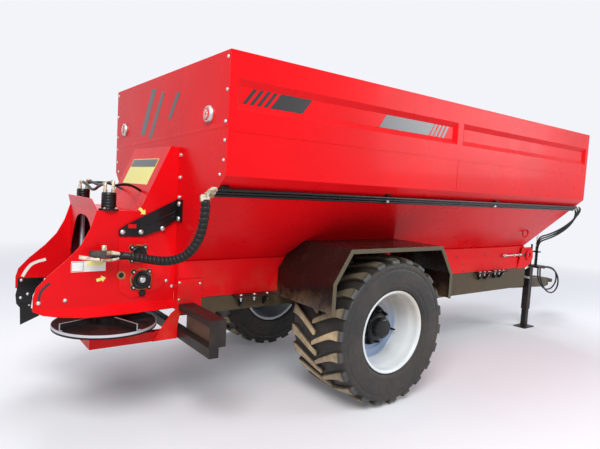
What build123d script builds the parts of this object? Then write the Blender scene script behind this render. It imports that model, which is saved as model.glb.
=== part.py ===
from build123d import *
from math import atan2, cos, degrees, hypot, pi, radians, sin, tan
import os

# Trailed manure spreader with one axle, a floor conveyor and two spinning discs at the rear.
# Lengths are in millimetres. x runs forward from the rear wall, y to the left, z up from the ground.
# Every piece is moved back by half the overall length when it is written.

# Hopper
hopper_length = 4260.0
hopper_width = 2000.0
hopper_top = 2272.0
knuckle_z = 1589.0
foot_z = 1020.0
foot_half = 383.0
wall = 5.0
rim_return = 45.0
rim_drop = 20.0
recess_low = 1955.0
recess_high = 2125.0
recess_depth = 24.0
recess_slope = 38.0
recess_gap = 70.0
recess_margin = 45.0
panel_seam_x = 2056.0
brace_size = 60.0
brace_wall = 4.0
opening_drop = 29.0
opening_side = 35.0

# Floor conveyor
shaft_z = 917.0
rear_shaft_x = -233.0
front_shaft_x = hopper_length + 70.0
sprocket_radius = 92.0
chain_half = 12.0
chain_width = 26.0
chain_y = 235.0
slat_length = 560.0
slat_width = 40.0
slat_height = 26.0
slat_count = 34
shaft_radius = 25.0
shaft_half = 392.0
floor_thick = 4.0
floor_clearance = 6.0
bearing_clearance = 0.3

# Conveyor channel
channel_y = 400.0
channel_flare = 412.0
channel_ridge_z = 902.0
channel_low = 772.0
channel_plate = 5.0
foot_plate = 8.0
seat_gap = 0.3
channel_front = hopper_length

# Chassis
rail_y = 372.0
rail_width = 80.0
rail_web = 8.0
rail_top = 770.0
rail_low_rear = 662.0
rail_low_front = 545.0
rail_rear = 20.0
rail_front = hopper_length + 40.0
rail_step_x = 2350.0
cross_height = 80.0
cross_xs = (700.0, 2250.0, 3300.0, hopper_length - 80.0)
axle_size = 110.0
axle_half = 560.0

# Drawbar
drawbar_start_x = hopper_length - 80.0
drawbar_end_x = drawbar_start_x + 1300.0
drawbar_end_y = 50.0
drawbar_end_z = 455.0
drawbar_start_z = 575.0
drawbar_width = 80.0
drawbar_height = 120.0
eye_x = drawbar_end_x + 210.0
eye_radius = 62.0
eye_bore = 25.0
eye_thick = 40.0

# Jack
jack_x = drawbar_start_x + 410.0
jack_y = 303.0
jack_outer = 72.0
jack_wall = 6.0
jack_slide = 0.6
jack_top = 745.0
jack_low = 225.0
jack_cap = 8.0
jack_travel = 200.0
jack_spare = 12.0
jack_foot_long = 210.0
jack_foot_wide = 150.0
jack_foot_thick = 12.0

# Wheels
wheel_x = 1386.0
tyre_radius = 545.0
tyre_width = 550.0
tyre_face_y = 1065.0
bead_radius = 286.0
rim_flange_radius = 302.0
lug_count = 22
lug_height = 32.0
hub_radius = 95.0
hub_length = 250.0
hub_cap = 115.0
rim_inset = 15.0
rim_plate = 8.0
rim_disc = 12.0
stub_radius = 35.0

# Fenders
fender_x = 1405.0
fender_outer_y = 1050.0
fender_half_top = 478.0
fender_half_knee = 622.0
fender_top = 1160.0
fender_knee = 937.0
fender_low = 738.0
fender_sheet = 4.0
fender_lip = 30.0

# Spinner housing
side_y = 345.0
side_plate = 5.0
housing_top = 1343.0
housing_top_front = -250.0
housing_top_rear = -505.0
apron_top_z = 1765.0
nose_x = -838.0
nose_low = 750.0
lip_drop = 46.0
lip_flare = 52.0
lip_fold = 12.0
rear_flange_drop = 66.0
rear_flange_lean = 24.0
rear_flange_taper = 40.0

# Discs
disc_x = -428.0
disc_y = 315.0
disc_top = 655.0
disc_radius = 305.0
disc_thick = 8.0
disc_rim = 26.0
vane_count = 4
vane_height = 42.0
vane_plate = 6.0
disc_shaft_radius = 16.0
motor_radius = 44.0
motor_height = 110.0
motor_flange = 56.0

# Guard frame and light bar
guard_rear = -545.0
guard_low = 515.0
guard_height = 62.0
guard_width = 50.0
bar_x = 36.0
bar_half = 880.0
bar_z = 548.0
bar_size = 62.0
bar_panel = 4.0
hanger_low = 155.0
hanger_high = 195.0
hanger_front = 75.0
foot_plate_front = 165.0
foot_plate_low = 676.0
gusset_reach = 170.0

# Deflectors, hanger feet and lifting rings
deflector_plate = 5.0
flap_thick = 6.0
hanger_reach = 88.0
hanger_plate = 10.0
hanger_spans = ((400.0, 720.0), (3290.0, 3530.0), (3570.0, 3800.0))
ring_x = hopper_length - 370.0
ring_z = 1208.0
ring_radius = 45.0
ring_bore = 25.0

# Pipes and hoses
pipe_radius = 9.0
pipe_pitch = 24.0
pipe_count = 3
pipe_rear = -40.0
pipe_front = hopper_length - 30.0
pipe_gap = 14.0
clamp_xs = (25.0, 1343.0, 2715.0)
hose_radius = 9.5
hose_pitch = 26.0
fitting_length = 34.0
valve_y = 424.0
valve_z = 1092.0
valve_end = -438.0
elbow_x = -84.0
elbow_z = 1452.0
rear_hose_radius = 26.0
post_x = drawbar_start_x + 710.0
post_y = -158.0
holder_z = 722.0
holder_thick = 14.0
holder_reach = 110.0
loop_stretch = 1.22

# Lamps
lamp_y = 771.0
lamp_z = 1940.0
lamp_radius = 50.0
lamp_depth = 28.0

x_front = eye_x + eye_radius
x_middle = (x_front + nose_x) / 2.0
saved = []


def save(name, shape):
    # Writes one piece, moved so that the middle of the machine lies over the origin.
    os.makedirs("parts", exist_ok=True)
    solids = [Pos(-x_middle, 0, 0) * solid for solid in shape.solids()]
    placed = solids[0] if len(solids) == 1 else Compound(children=solids)
    export_step(placed, "parts/" + name + ".step")
    saved.append(name)


def other_side(shape):
    # The same piece on the other side of the machine.
    return mirror(shape, about=Plane.XZ)


def block(x0, x1, y0, y1, z0, z1):
    # A box between two corners.
    size = (x1 - x0, y1 - y0, z1 - z0)
    middle = ((x0 + x1) / 2, (y0 + y1) / 2, (z0 + z1) / 2)
    return Pos(*middle) * Box(*size)


def cyl_y(x, z, radius, y0, y1):
    # A round bar along y.
    turned = Rot(90, 0, 0) * Cylinder(radius, abs(y1 - y0))
    return Pos(x, (y0 + y1) / 2, z) * turned


def cyl_z(x, y, radius, z0, z1):
    # A round bar along z.
    return Pos(x, y, (z0 + z1) / 2) * Cylinder(radius, z1 - z0)


def bar(start, end, width, height):
    # A rectangular bar between two points, its height upright.
    run = Vector(*end) - Vector(*start)
    side = Vector(0, 0, 1).cross(run).normalized()
    plane = Plane(origin=start, x_dir=side, z_dir=run)
    return extrude(plane * Rectangle(width, height), amount=run.length)


def offset_line(points, thick):
    # The points of a folded sheet's other face, mitred at each fold.
    moved = []
    for i, point in enumerate(points):
        normals = []
        if i > 0:
            a = points[i - 1]
            length = hypot(point[0] - a[0], point[1] - a[1])
            normals.append((-(point[1] - a[1]) / length, (point[0] - a[0]) / length))
        if i < len(points) - 1:
            b = points[i + 1]
            length = hypot(b[0] - point[0], b[1] - point[1])
            normals.append((-(b[1] - point[1]) / length, (b[0] - point[0]) / length))
        nx = sum(n[0] for n in normals)
        ny = sum(n[1] for n in normals)
        scale = thick * len(normals) / (nx * nx + ny * ny)
        moved.append((point[0] + nx * scale, point[1] + ny * scale))
    return moved


def folded(points, thick):
    # The outline of a folded sheet, closed at both ends.
    outline = list(points) + offset_line(points, thick)[::-1]
    return make_face(Polyline(*outline, close=True))


def along_x(face, x0, x1):
    # A section drawn in y and z, pushed along x.
    placed = Plane(origin=(x0, 0, 0), x_dir=(0, 1, 0), z_dir=(1, 0, 0)) * face
    return extrude(placed, amount=x1 - x0)


def along_y(points, y0, y1):
    # An outline drawn in x and z, pushed along y.
    face = make_face(Polyline(*points, close=True))
    placed = Plane(origin=(0, y0, 0), x_dir=(1, 0, 0), z_dir=(0, -1, 0)) * face
    return extrude(placed, amount=-(y1 - y0))


half = hopper_width / 2
slope_run = half - foot_half
slope_rise = knuckle_z - foot_z
slope_length = hypot(slope_run, slope_rise)
slope_out = (-slope_rise / slope_length, -slope_run / slope_length)


def slope_y(z):
    # How far out the lower slope's outer face lies at a height.
    return foot_half + slope_run * (z - foot_z) / slope_rise


def hopper_side():
    # Right-hand side sheet: sloped foot, upright wall with two pressed panels, folded rim.
    section = [
        (-foot_half, foot_z),
        (-half, knuckle_z),
        (-half, hopper_top),
        (-half + rim_return, hopper_top),
        (-half + rim_return, hopper_top - rim_drop),
    ]
    shell = along_x(folded(section, -wall), 0, hopper_length)
    shell -= block(-10, hopper_length + 10, -half, 0, foot_z - 50, foot_z)
    middle_z = (recess_low + recess_high) / 2
    lean = degrees(atan2(recess_slope, recess_depth))
    spans = (
        (recess_margin, panel_seam_x - recess_gap / 2),
        (panel_seam_x + recess_gap / 2, hopper_length - recess_margin),
    )
    for x0, x1 in spans:
        front = Plane(origin=((x0 + x1) / 2, -half, middle_z), x_dir=(1, 0, 0), z_dir=(0, 1, 0))
        long, high = x1 - x0, recess_high - recess_low
        back = front.offset(wall)
        shell += extrude(back * Rectangle(long, high), amount=recess_depth, taper=lean)
        shell -= extrude(front * Rectangle(long, high), amount=recess_depth, taper=lean)
    return shell


def wall_outline():
    return [
        (-foot_half, foot_z),
        (-half, knuckle_z),
        (-half, hopper_top),
        (half, hopper_top),
        (half, knuckle_z),
        (foot_half, foot_z),
    ]


def rear_wall():
    # Flat rear wall with the opening that the conveyor feeds through.
    plate = along_x(make_face(Polyline(*wall_outline(), close=True)), -wall, 0)
    reach = side_y - opening_side
    opening = block(-20, 20, -reach, reach, foot_z - 10, knuckle_z - opening_drop)
    return plate - opening


def front_wall():
    # Flat front wall, cut away at its foot where the conveyor returns.
    plate = along_x(make_face(Polyline(*wall_outline(), close=True)), hopper_length, hopper_length + wall)
    low = block(hopper_length - 20, hopper_length + 20, -slat_length / 2 - 30, slat_length / 2 + 30,
                foot_z - 20, foot_z + 55)
    return plate - low


def hopper_brace():
    reach = half - wall
    z1 = recess_low - 5
    h = brace_size / 2
    g = h - brace_wall
    tube = block(panel_seam_x - h, panel_seam_x + h, -reach, reach, z1 - brace_size, z1)
    hole = block(panel_seam_x - g, panel_seam_x + g, -reach, reach, z1 - h - g, z1 - h + g)
    return tube - hole


def channel():
    # Right-hand conveyor channel under the hopper's foot.
    section = [
        (-foot_half + 25, foot_z),
        (-channel_y, foot_z),
        (-channel_y, channel_ridge_z),
        (-channel_flare, channel_low),
        (-channel_flare + 40, channel_low),
    ]
    return along_x(folded(section, channel_plate), 0, channel_front)


def floor_sheet():
    top = shaft_z + sprocket_radius - chain_half - floor_clearance
    reach = channel_y - channel_plate
    return block(0, hopper_length - 60, -reach, reach, top - floor_thick, top)


def conveyor():
    # Two chain strands round both shafts, carrying slats; one closed loop.
    span = front_shaft_x - rear_shaft_x
    middle = (front_shaft_x + rear_shaft_x) / 2
    outer = SlotCenterToCenter(span, 2 * (sprocket_radius + chain_half))
    inner = SlotCenterToCenter(span, 2 * (sprocket_radius - chain_half))
    loop = None
    for y in (-chain_y, chain_y):
        plane = Plane(origin=(middle, y - chain_width / 2, shaft_z), x_dir=(1, 0, 0), z_dir=(0, 1, 0))
        strand = extrude(plane * (outer - inner), amount=chain_width)
        loop = strand if loop is None else loop + strand
    straight = span
    turn = pi * sprocket_radius
    total = 2 * straight + 2 * turn
    slats = []
    for i in range(slat_count):
        s = total * i / slat_count
        if s < straight:
            x, z, angle = rear_shaft_x + s, sprocket_radius, 0
        elif s < straight + turn:
            a = (s - straight) / sprocket_radius
            x, z, angle = front_shaft_x + sprocket_radius * sin(a), sprocket_radius * cos(a), a
        elif s < 2 * straight + turn:
            x, z, angle = front_shaft_x - (s - straight - turn), -sprocket_radius, pi
        else:
            a = (s - 2 * straight - turn) / sprocket_radius
            x, z, angle = rear_shaft_x - sprocket_radius * sin(a), -sprocket_radius * cos(a), pi + a
        slat = Box(slat_width, slat_length, slat_height)
        lift = Pos(0, 0, chain_half / 2 + slat_height / 2 - 4)
        slats.append(Pos(x, 0, shaft_z + z) * Rot(0, degrees(angle), 0) * lift * slat)
    return loop + slats


def conveyor_shaft(x):
    # A shaft with a plain sprocket under each chain strand.
    shaft = cyl_y(x, shaft_z, shaft_radius, -shaft_half, shaft_half)
    for y in (-chain_y, chain_y):
        shaft += cyl_y(x, shaft_z, sprocket_radius - chain_half - 0.5, y - 9, y + 9)
    return shaft


def rail():
    # Right-hand chassis rail, deeper ahead of the axle.
    y0 = -rail_y - rail_width / 2
    y1 = -rail_y + rail_width / 2
    outline = [
        (rail_rear, rail_top),
        (rail_front, rail_top),
        (rail_front, rail_low_front),
        (rail_step_x + 250, rail_low_front),
        (rail_step_x, rail_low_rear),
        (rail_rear, rail_low_rear),
    ]
    solid = along_y(outline, y0, y1)
    t = rail_web
    pocket = [
        (rail_rear - 5, rail_top - t),
        (rail_front + 5, rail_top - t),
        (rail_front + 5, rail_low_front + t),
        (rail_step_x + 252, rail_low_front + t),
        (rail_step_x + 2, rail_low_rear + t),
        (rail_rear - 5, rail_low_rear + t),
    ]
    return solid - along_y(pocket, y0 + t, y1)


def chassis_cross():
    # Cross-members between the rails.
    reach = rail_y + rail_width / 2 - rail_web
    pieces = []
    for x in cross_xs:
        z1 = rail_top - rail_web
        z0 = max(z1 - cross_height, rail_low_rear + rail_web)
        pieces.append(block(x - 40, x + 40, -reach, reach, z0, z1))
    return pieces


def drawbar_beam(side):
    # One of the two beams that converge on the towing eye.
    start_y = rail_y - rail_width / 2 - drawbar_width / 2
    start = (drawbar_start_x, side * start_y, drawbar_start_z)
    end = (drawbar_end_x, side * drawbar_end_y, drawbar_end_z)
    return bar(start, end, drawbar_width, drawbar_height)


def drawbar():
    # Both beams, the head that joins them and the towing eye.
    frame = drawbar_beam(-1) + drawbar_beam(1)
    head = block(drawbar_end_x - 140, drawbar_end_x + 60, -90, 90, drawbar_end_z - 50, drawbar_end_z + 55)
    frame = frame + head
    neck = block(drawbar_end_x + 50, eye_x, -35, 35, drawbar_end_z - 18, drawbar_end_z + 18)
    ring = cyl_z(eye_x, 0, eye_radius, drawbar_end_z - eye_thick / 2, drawbar_end_z + eye_thick / 2)
    frame = frame + neck + ring
    return frame - cyl_z(eye_x, 0, eye_bore, drawbar_end_z - 100, drawbar_end_z + 100)


def axle():
    # Square axle with a stub at each end and the brackets that carry the rails.
    z = tyre_radius
    beam = block(wheel_x - axle_size / 2, wheel_x + axle_size / 2, -axle_half, axle_half,
                 z - axle_size / 2, z + axle_size / 2)
    for side in (-1, 1):
        beam += cyl_y(wheel_x, z, stub_radius, side * (axle_half - 5), side * (axle_half + hub_length + 60))
        y = side * rail_y
        w = rail_width / 2
        beam += block(wheel_x - 140, wheel_x + 140, y - w, y + w, z + axle_size / 2, rail_low_rear)
    return beam


def rim():
    # Wheel rim with a deep outer dish, its disc and hub.
    y0 = -tyre_face_y + rim_inset
    y1 = y0 + tyre_width - 2 * rim_inset
    barrel = cyl_y(wheel_x, tyre_radius, bead_radius, y0, y1)
    barrel -= cyl_y(wheel_x, tyre_radius, bead_radius - rim_plate, y0 - 1, y1 + 1)
    for y in (y0, y1 - rim_plate):
        ring = cyl_y(wheel_x, tyre_radius, rim_flange_radius, y, y + rim_plate)
        barrel += ring - cyl_y(wheel_x, tyre_radius, bead_radius - rim_plate, y - 1, y + rim_plate + 1)
    plate_y = -axle_half - hub_length + 40
    plate = cyl_y(wheel_x, tyre_radius, bead_radius - rim_plate, plate_y, plate_y + rim_disc)
    plate -= cyl_y(wheel_x, tyre_radius, 60, plate_y - 1, plate_y + rim_disc + 1)
    return barrel + plate


def hub():
    y0 = -axle_half - hub_length
    drum = cyl_y(wheel_x, tyre_radius, hub_radius, y0 + 52.5, -axle_half - 8)
    cap = cyl_y(wheel_x, tyre_radius, 59, y0 - hub_cap, y0 + 60)
    flange = cyl_y(wheel_x, tyre_radius, 140, y0 + 52.5, y0 + 70)
    bore = cyl_y(wheel_x, tyre_radius, stub_radius + 0.05, y0 - 61, 0)
    return drum + cap + flange - bore


def tyre_section(points):
    # A solid of revolution about the axle from radius and half-width points.
    whole = points + [(r, -w) for r, w in points[::-1] if w > 0]
    face = make_face(Polyline(*whole, close=True))
    flat = Plane(origin=(0, 0, 0), x_dir=(1, 0, 0), z_dir=(0, 0, 1))
    return revolve(flat * face, Axis.Y)


def tyre():
    # Tyre with directional lugs, the carcass solid between its beads.
    w = tyre_width / 2
    carcass = tyre_radius - lug_height
    bead_w = w - rim_inset - rim_plate - 4
    body = tyre_section([
        (bead_radius + 0.4, bead_w),
        (rim_flange_radius + 7, bead_w + 2),
        (rim_flange_radius + 22, w - 8),
        (bead_radius + 120, w),
        (carcass - 22, w - 4),
        (carcass - 8, w - 24),
        (carcass, w - 90),
    ])
    crown = tyre_section([
        (carcass - 60, w + 2),
        (carcass + 4, w + 2),
        (tyre_radius - 6, w - 12),
        (tyre_radius, w - 60),
    ])
    lugs = []
    for i in range(lug_count):
        for side in (-1, 1):
            angle = 360.0 * (i + (0.5 if side > 0 else 0)) / lug_count
            outline = [
                (-8, side * -12),
                (44, side * -12),
                (112, side * (w * 0.62)),
                (122, side * (w + 10)),
                (52, side * (w + 10)),
                (44, side * (w * 0.62)),
            ]
            flat = Plane(origin=(0, 0, carcass - 72), x_dir=(1, 0, 0), z_dir=(0, 0, 1))
            lug = extrude(flat * make_face(Polyline(*outline, close=True)), amount=120)
            lugs.append(Rot(0, angle, 0) * lug)
    tread = crown & Compound(children=lugs)
    body = body + tread.solids()
    return Pos(wheel_x, -tyre_face_y + w, tyre_radius) * body


def fender():
    outline = [
        (fender_x - fender_half_knee, fender_low),
        (fender_x - fender_half_knee, fender_knee),
        (fender_x - fender_half_top, fender_top),
        (fender_x + fender_half_top, fender_top),
        (fender_x + fender_half_knee, fender_knee),
        (fender_x + fender_half_knee, fender_low),
    ]
    sheet = along_y(outline + offset_line(outline, -fender_sheet)[::-1], -fender_outer_y, -channel_flare - seat_gap)
    inner = offset_line(outline, -fender_lip)
    lip = along_y(outline + inner[::-1], -fender_outer_y, -fender_outer_y + fender_sheet)
    slope = [
        (-foot_half + 200, foot_z),
        (-foot_half - seat_gap, foot_z),
        (-half - seat_gap, knuckle_z),
        (-half + 200, knuckle_z),
    ]
    return sheet + lip - along_x(make_face(Polyline(*slope, close=True)), 0, hopper_length)


side_outline = [
    (-wall, apron_top_z),
    (-60.0, apron_top_z),
    (housing_top_front, housing_top),
    (housing_top_rear, housing_top),
    (-541.0, 1230.0),
    (-590.0, 1135.0),
    (-660.0, 1055.0),
    (-760.0, 965.0),
    (-822.0, 895.0),
    (nose_x, 840.0),
    (nose_x, nose_low + lip_fold),
    (-wall, nose_low + lip_fold),
]


def housing_side():
    # Right-hand side plate of the spinner housing, with its flared lower lip.
    plate = along_y(side_outline, -side_y - side_plate, -side_y)
    # The lip leans outwards below the fold; its lower edge rises towards the nose.
    lean = hypot(lip_flare, lip_drop + lip_fold)
    fold = Plane(
        origin=(0, -side_y, nose_low + lip_fold),
        x_dir=(1, 0, 0),
        z_dir=(0, -(lip_drop + lip_fold), lip_flare),
    )
    edge = Polyline(
        (nose_x, 0), (-wall, 0), (-wall, -lean * 0.86), (-wall - 300, -lean), (-wall - 560, -lean * 0.98),
        (nose_x + 140, -lean * 0.72), (nose_x + 50, -lean * 0.42), close=True,
    )
    lip = extrude(fold * make_face(edge), amount=side_plate)
    plate -= cyl_y(rear_shaft_x, shaft_z, shaft_radius + bearing_clearance, -500, 0)
    return plate + lip


def housing_top_plate():
    reach = side_y
    top = block(housing_top_rear, housing_top_front, -reach, reach, housing_top - side_plate, housing_top)
    for side in (-1, 1):
        top -= cyl_z(disc_x, side * disc_y, disc_shaft_radius + 6, housing_top - 20, housing_top + 20)
    # A flange folded down at the rear, narrower at its foot.
    lean = Plane(
        origin=(housing_top_rear, 0, housing_top),
        x_dir=(0, 1, 0),
        z_dir=(-rear_flange_drop, 0, -rear_flange_lean),
    )
    low = reach - rear_flange_taper
    drop = -hypot(rear_flange_drop, rear_flange_lean)
    edge = Polyline((-reach, 0), (reach, 0), (low, drop), (-low, drop), close=True)
    return top + extrude(lean * make_face(edge), amount=-side_plate)


def apron():
    # Sloped cover over the feed opening.
    outline = [
        (-60.0, apron_top_z),
        (housing_top_front, housing_top),
        (housing_top_front + 7, housing_top),
        (-60.0 + 7, apron_top_z),
    ]
    slope = along_y(outline, -side_y, side_y)
    cap = block(-60, -wall, -side_y, side_y, apron_top_z - side_plate, apron_top_z)
    return slope + cap


def disc(side):
    # A spreading disc with its shaft and vanes.
    y = side * disc_y
    plate = cyl_z(disc_x, y, disc_radius, disc_top - disc_thick, disc_top)
    skirt = cyl_z(disc_x, y, disc_radius, disc_top - disc_rim, disc_top)
    skirt -= cyl_z(disc_x, y, disc_radius - 6, disc_top - disc_rim - 1, disc_top + 1)
    solid = plate + skirt
    for i in range(vane_count):
        angle = 360.0 * i / vane_count + 20
        vane = block(90, disc_radius - 4, -vane_plate / 2, vane_plate / 2, 0, vane_height)
        foot = block(90, disc_radius - 4, -vane_plate / 2, 24, 0, vane_plate)
        solid += Pos(disc_x, y, disc_top) * Rot(0, 0, angle) * (vane + foot)
    solid += cyl_z(disc_x, y, 70, disc_top, disc_top + 30)
    solid += cyl_z(disc_x, y, disc_shaft_radius, disc_top, housing_top + 15)
    return solid


def disc_motor(side):
    y = side * disc_y
    z = housing_top
    body = cyl_z(disc_x, y, motor_radius, z, z + motor_height)
    flange = cyl_z(disc_x, y, motor_flange, z, z + 14)
    bore = cyl_z(disc_x, y, disc_shaft_radius + 0.05, z - 1, z + 20)
    return body + flange - bore


def guard_frame():
    # Channel frame below the discs, open inwards.
    y0 = -channel_flare
    y1 = y0 + guard_width
    arm_end = bar_x - bar_size / 2 - seat_gap
    arm = block(guard_rear, arm_end, y0, y1, guard_low, guard_low + guard_height)
    arm -= block(guard_rear + 5, arm_end + 1, y0 + 5, y1 + 1, guard_low + 5, guard_low + guard_height - 5)
    cross = block(guard_rear, guard_rear + 5, y0, -y0, guard_low, guard_low + guard_height)
    cross += block(guard_rear, guard_rear + 45, y0 + 5, -y0 - 5, guard_low, guard_low + 5)
    return arm + other_side(arm) + cross


def light_bar():
    # Square bar across the rear with its hangers.
    h = bar_size / 2
    tube = block(bar_x - h, bar_x + h, -bar_half, bar_half, bar_z - h, bar_z + h)
    tube -= block(bar_x - h + 4, bar_x + h - 4, -bar_half + 4, bar_half - 4, bar_z - h + 4, bar_z + h - 4)
    solid = tube
    for side in (-1, 1):
        ends = sorted((side * (channel_flare + foot_plate), side * bar_half))
        tip = sorted((side * bar_half, side * (bar_half - 8)))
        solid += block(bar_x - h, bar_x + hanger_front, *tip, bar_z + h, bar_z + hanger_high)
        solid += block(bar_x - h, bar_x + hanger_front, *ends, bar_z + hanger_low, bar_z + hanger_high)
    return solid


def bar_panels():
    # Plates that close the space between the bar and its hangers.
    panels = []
    h = bar_size / 2
    for side in (-1, 1):
        ends = sorted((side * (channel_flare + foot_plate + 3), side * (bar_half - 8)))
        x = bar_x + h - bar_panel
        panels.append(block(x, bar_x + h, *ends, bar_z + h, bar_z + hanger_low))
    return panels


def jack_tube():
    h = jack_outer / 2
    y = -jack_y
    tube = block(jack_x - h, jack_x + h, y - h, y + h, jack_low, jack_top)
    g = h - jack_wall
    tube -= block(jack_x - g, jack_x + g, y - g, y + g, jack_low - 1, jack_top - jack_cap)
    return tube


def jack_leg():
    h = jack_outer / 2 - jack_wall - jack_slide
    y = -jack_y
    leg_top = jack_top - jack_cap - jack_travel - jack_spare
    leg = block(jack_x - h, jack_x + h, y - h, y + h, jack_foot_thick, leg_top)
    foot = block(jack_x - jack_foot_long / 2, jack_x + jack_foot_long / 2,
                 y - jack_foot_wide / 2, y + jack_foot_wide / 2, 0, jack_foot_thick)
    return leg + foot


def pipe_lines():
    # Height and side position of each hydraulic pipe on the right-hand slope.
    lines = []
    for i in range(pipe_count):
        z = knuckle_z - 62 - i * pipe_pitch * slope_rise / slope_length
        out = pipe_radius + pipe_gap
        lines.append((-slope_y(z) + out * slope_out[0], z + out * slope_out[1]))
    return lines


def pipes():
    # Hydraulic pipes along the right-hand slope.
    tubes = []
    for y, z in pipe_lines():
        tube = Rot(0, 90, 0) * Cylinder(pipe_radius, pipe_front - pipe_rear)
        tubes.append(Pos((pipe_front + pipe_rear) / 2, y, z) * tube)
    return tubes


def pipe_fittings():
    # Fittings at both ends of each pipe, and the block that gathers the rear hose.
    pieces = []
    for y, z in pipe_lines():
        body = Rot(0, 90, 0) * Cylinder(hose_radius + 1, fitting_length)
        pieces.append(Pos(pipe_front + fitting_length / 2, y, z) * body)
    y, z = pipe_lines()[1]
    reach = 2 * (pipe_rear - elbow_x)
    pieces.append(block(pipe_rear - reach, pipe_rear, y - 34, y + 34, elbow_z, z + 36))
    return pieces


def pipe_clamps():
    # Clamps between the pipes and the slope.
    first = pipe_lines()[0]
    last = pipe_lines()[-1]
    clamps = []
    for x in clamp_xs:
        centre = Vector(x, (first[0] + last[0]) / 2, (first[1] + last[1]) / 2)
        slope = Plane(origin=centre, x_dir=(1, 0, 0), z_dir=(0, slope_out[0], slope_out[1]))
        long = (pipe_count - 1) * pipe_pitch + 2 * pipe_radius + 16
        back = pipe_radius + pipe_gap
        solid = extrude(slope * Rectangle(44, long), amount=-back)
        for y, z in pipe_lines():
            hole = Rot(0, 90, 0) * Cylinder(pipe_radius, 80)
            solid -= Pos(x, y, z) * hole
        clamps.append(solid)
    return clamps


def round_lamps():
    # Round rear lamps on the rear wall.
    lamps = []
    for side in (-1, 1):
        body = Rot(0, 90, 0) * Cylinder(lamp_radius, lamp_depth)
        lamps.append(Pos(-wall - lamp_depth / 2, side * lamp_y, lamp_z) * body)
    return lamps


def rounded_path(points):
    # A route of straight runs joined by tangent arcs, each as large as its runs allow.
    places = [Vector(*p) for p in points]
    radii = []
    for before, at, after in zip(places, places[1:], places[2:]):
        run_in = at - before
        run_out = after - at
        turn = radians(run_in.get_angle(run_out))
        radii.append(0.45 * min(run_in.length, run_out.length) / tan(turn / 2))
    print("radii", [round(r) for r in radii])
    return FilletPolyline(*places, radius=radii)


def hose(points, radius):
    # A hose along a route.
    path = rounded_path(points)
    start = Plane(origin=path @ 0, z_dir=path % 0)
    tube = sweep(start * Circle(radius), path=path)
    share = tube.volume / (pi * radius * radius * path.length)
    print("hose length", round(path.length), "volume share", round(share, 4))
    return tube


def rear_hose_route():
    # From the pipes' elbow block, down and inwards to the valve on the housing's side.
    y = pipe_lines()[1][0]
    return [
        (elbow_x, y, elbow_z),
        (elbow_x, y, elbow_z - 66),
        (elbow_x - 4, y + 13, elbow_z - 150),
        (elbow_x - 12, y + 44, elbow_z - 228),
        (elbow_x - 27, y + 94, elbow_z - 294),
        (elbow_x - 50, y + 160, elbow_z - 344),
        (elbow_x - 83, y + 238, elbow_z - 374),
        (elbow_x - 124, y + 318, elbow_z - 386),
        (elbow_x - 168, y + 392, elbow_z - 385),
        (elbow_x - 216, y + 458, elbow_z - 380),
        (valve_end + 64, -valve_y, valve_z - 12),
        (valve_end, -valve_y, valve_z - 12),
    ]


def front_hose_route(i):
    # One of the supply hoses that sag from the pipes to the hose post.
    y, z = pipe_lines()[i]
    k = i - (pipe_count - 1) / 2
    start = pipe_front + fitting_length
    down_x = post_x + 26 - hose_pitch * 0.72 * k
    down_y = post_y - 52 - hose_pitch * 0.72 * k
    return [
        (start, y, z),
        (start + 40 - 4 * k, y, z),
        (start + 92 - 10 * k, y + 12, z - 40 - 4 * k),
        (start + 152 - 6 * k, -862 + 10 * k, 1376 - 24 * k),
        (start + 226, -768 + 8 * k, 1296 - 25 * k),
        (start + 314, -650 + 6 * k, 1224 - 26 * k),
        (start + 412, -520 + 2 * k, 1164 - 26 * k),
        (start + 514, -396 - 2 * k, 1120 - 25 * k),
        (down_x - 66, down_y - 86, 1090 - 24 * k),
        (down_x - 14, down_y - 26, 1050 - 18 * k),
        (down_x, down_y, 968 - 6 * k),
        (down_x + 2, down_y - 2, 876),
        (down_x + 2, down_y - 2, holder_z + holder_thick),
    ]


def loop_route(i):
    # A parked hose: forward out of the holder, round and back under it.
    y = post_y - 78 - 30 * i
    x = post_x + holder_reach
    w = loop_stretch
    return [
        (x, y, holder_z - 12),
        (x + 78, y, holder_z - 12),
        (x + 172 * w, y - 6, holder_z - 18 - 14 * i),
        (x + 262 * w, y - 8, holder_z - 46 - 30 * i),
        (x + 336 * w, y - 4, holder_z - 102 - 46 * i),
        (x + 372 * w, y + 2, holder_z - 180 - 54 * i),
        (x + 356 * w, y + 4, holder_z - 256 - 56 * i),
        (x + 288 * w, y + 2, holder_z - 310 - 52 * i),
        (x + 196 * w, y - 4, holder_z - 324 - 38 * i),
        (x + 104 * w, y - 8, holder_z - 302 - 22 * i),
        (x + 28 * w, y - 8, holder_z - 248 - 10 * i),
        (x - 28, y - 4, holder_z - 176),
        (x - 56 - 4 * i, y, holder_z - 100),
        (x - 56 - 4 * i, y, holder_z - 14),
    ]


def hose_post():
    # Slim post on the drawbar that carries the hose holder and its clamp.
    post = block(post_x - 14, post_x + 14, post_y - 6, post_y + 6, 500, 1000)
    post = (post - drawbar_beam(-1)).solids().sort_by(Axis.Z)[-1]
    plate = block(post_x - 50, post_x + holder_reach, post_y - 136, post_y + 6,
                  holder_z, holder_z + holder_thick)
    drop = block(post_x + holder_reach - 6, post_x + holder_reach, post_y - 136, post_y + 6,
                 holder_z - 26, holder_z)
    base = block(post_x - 50, post_x + holder_reach, post_y - 136, post_y + 6,
                 holder_z - 14, holder_z)
    return post + plate + drop + base


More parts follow.
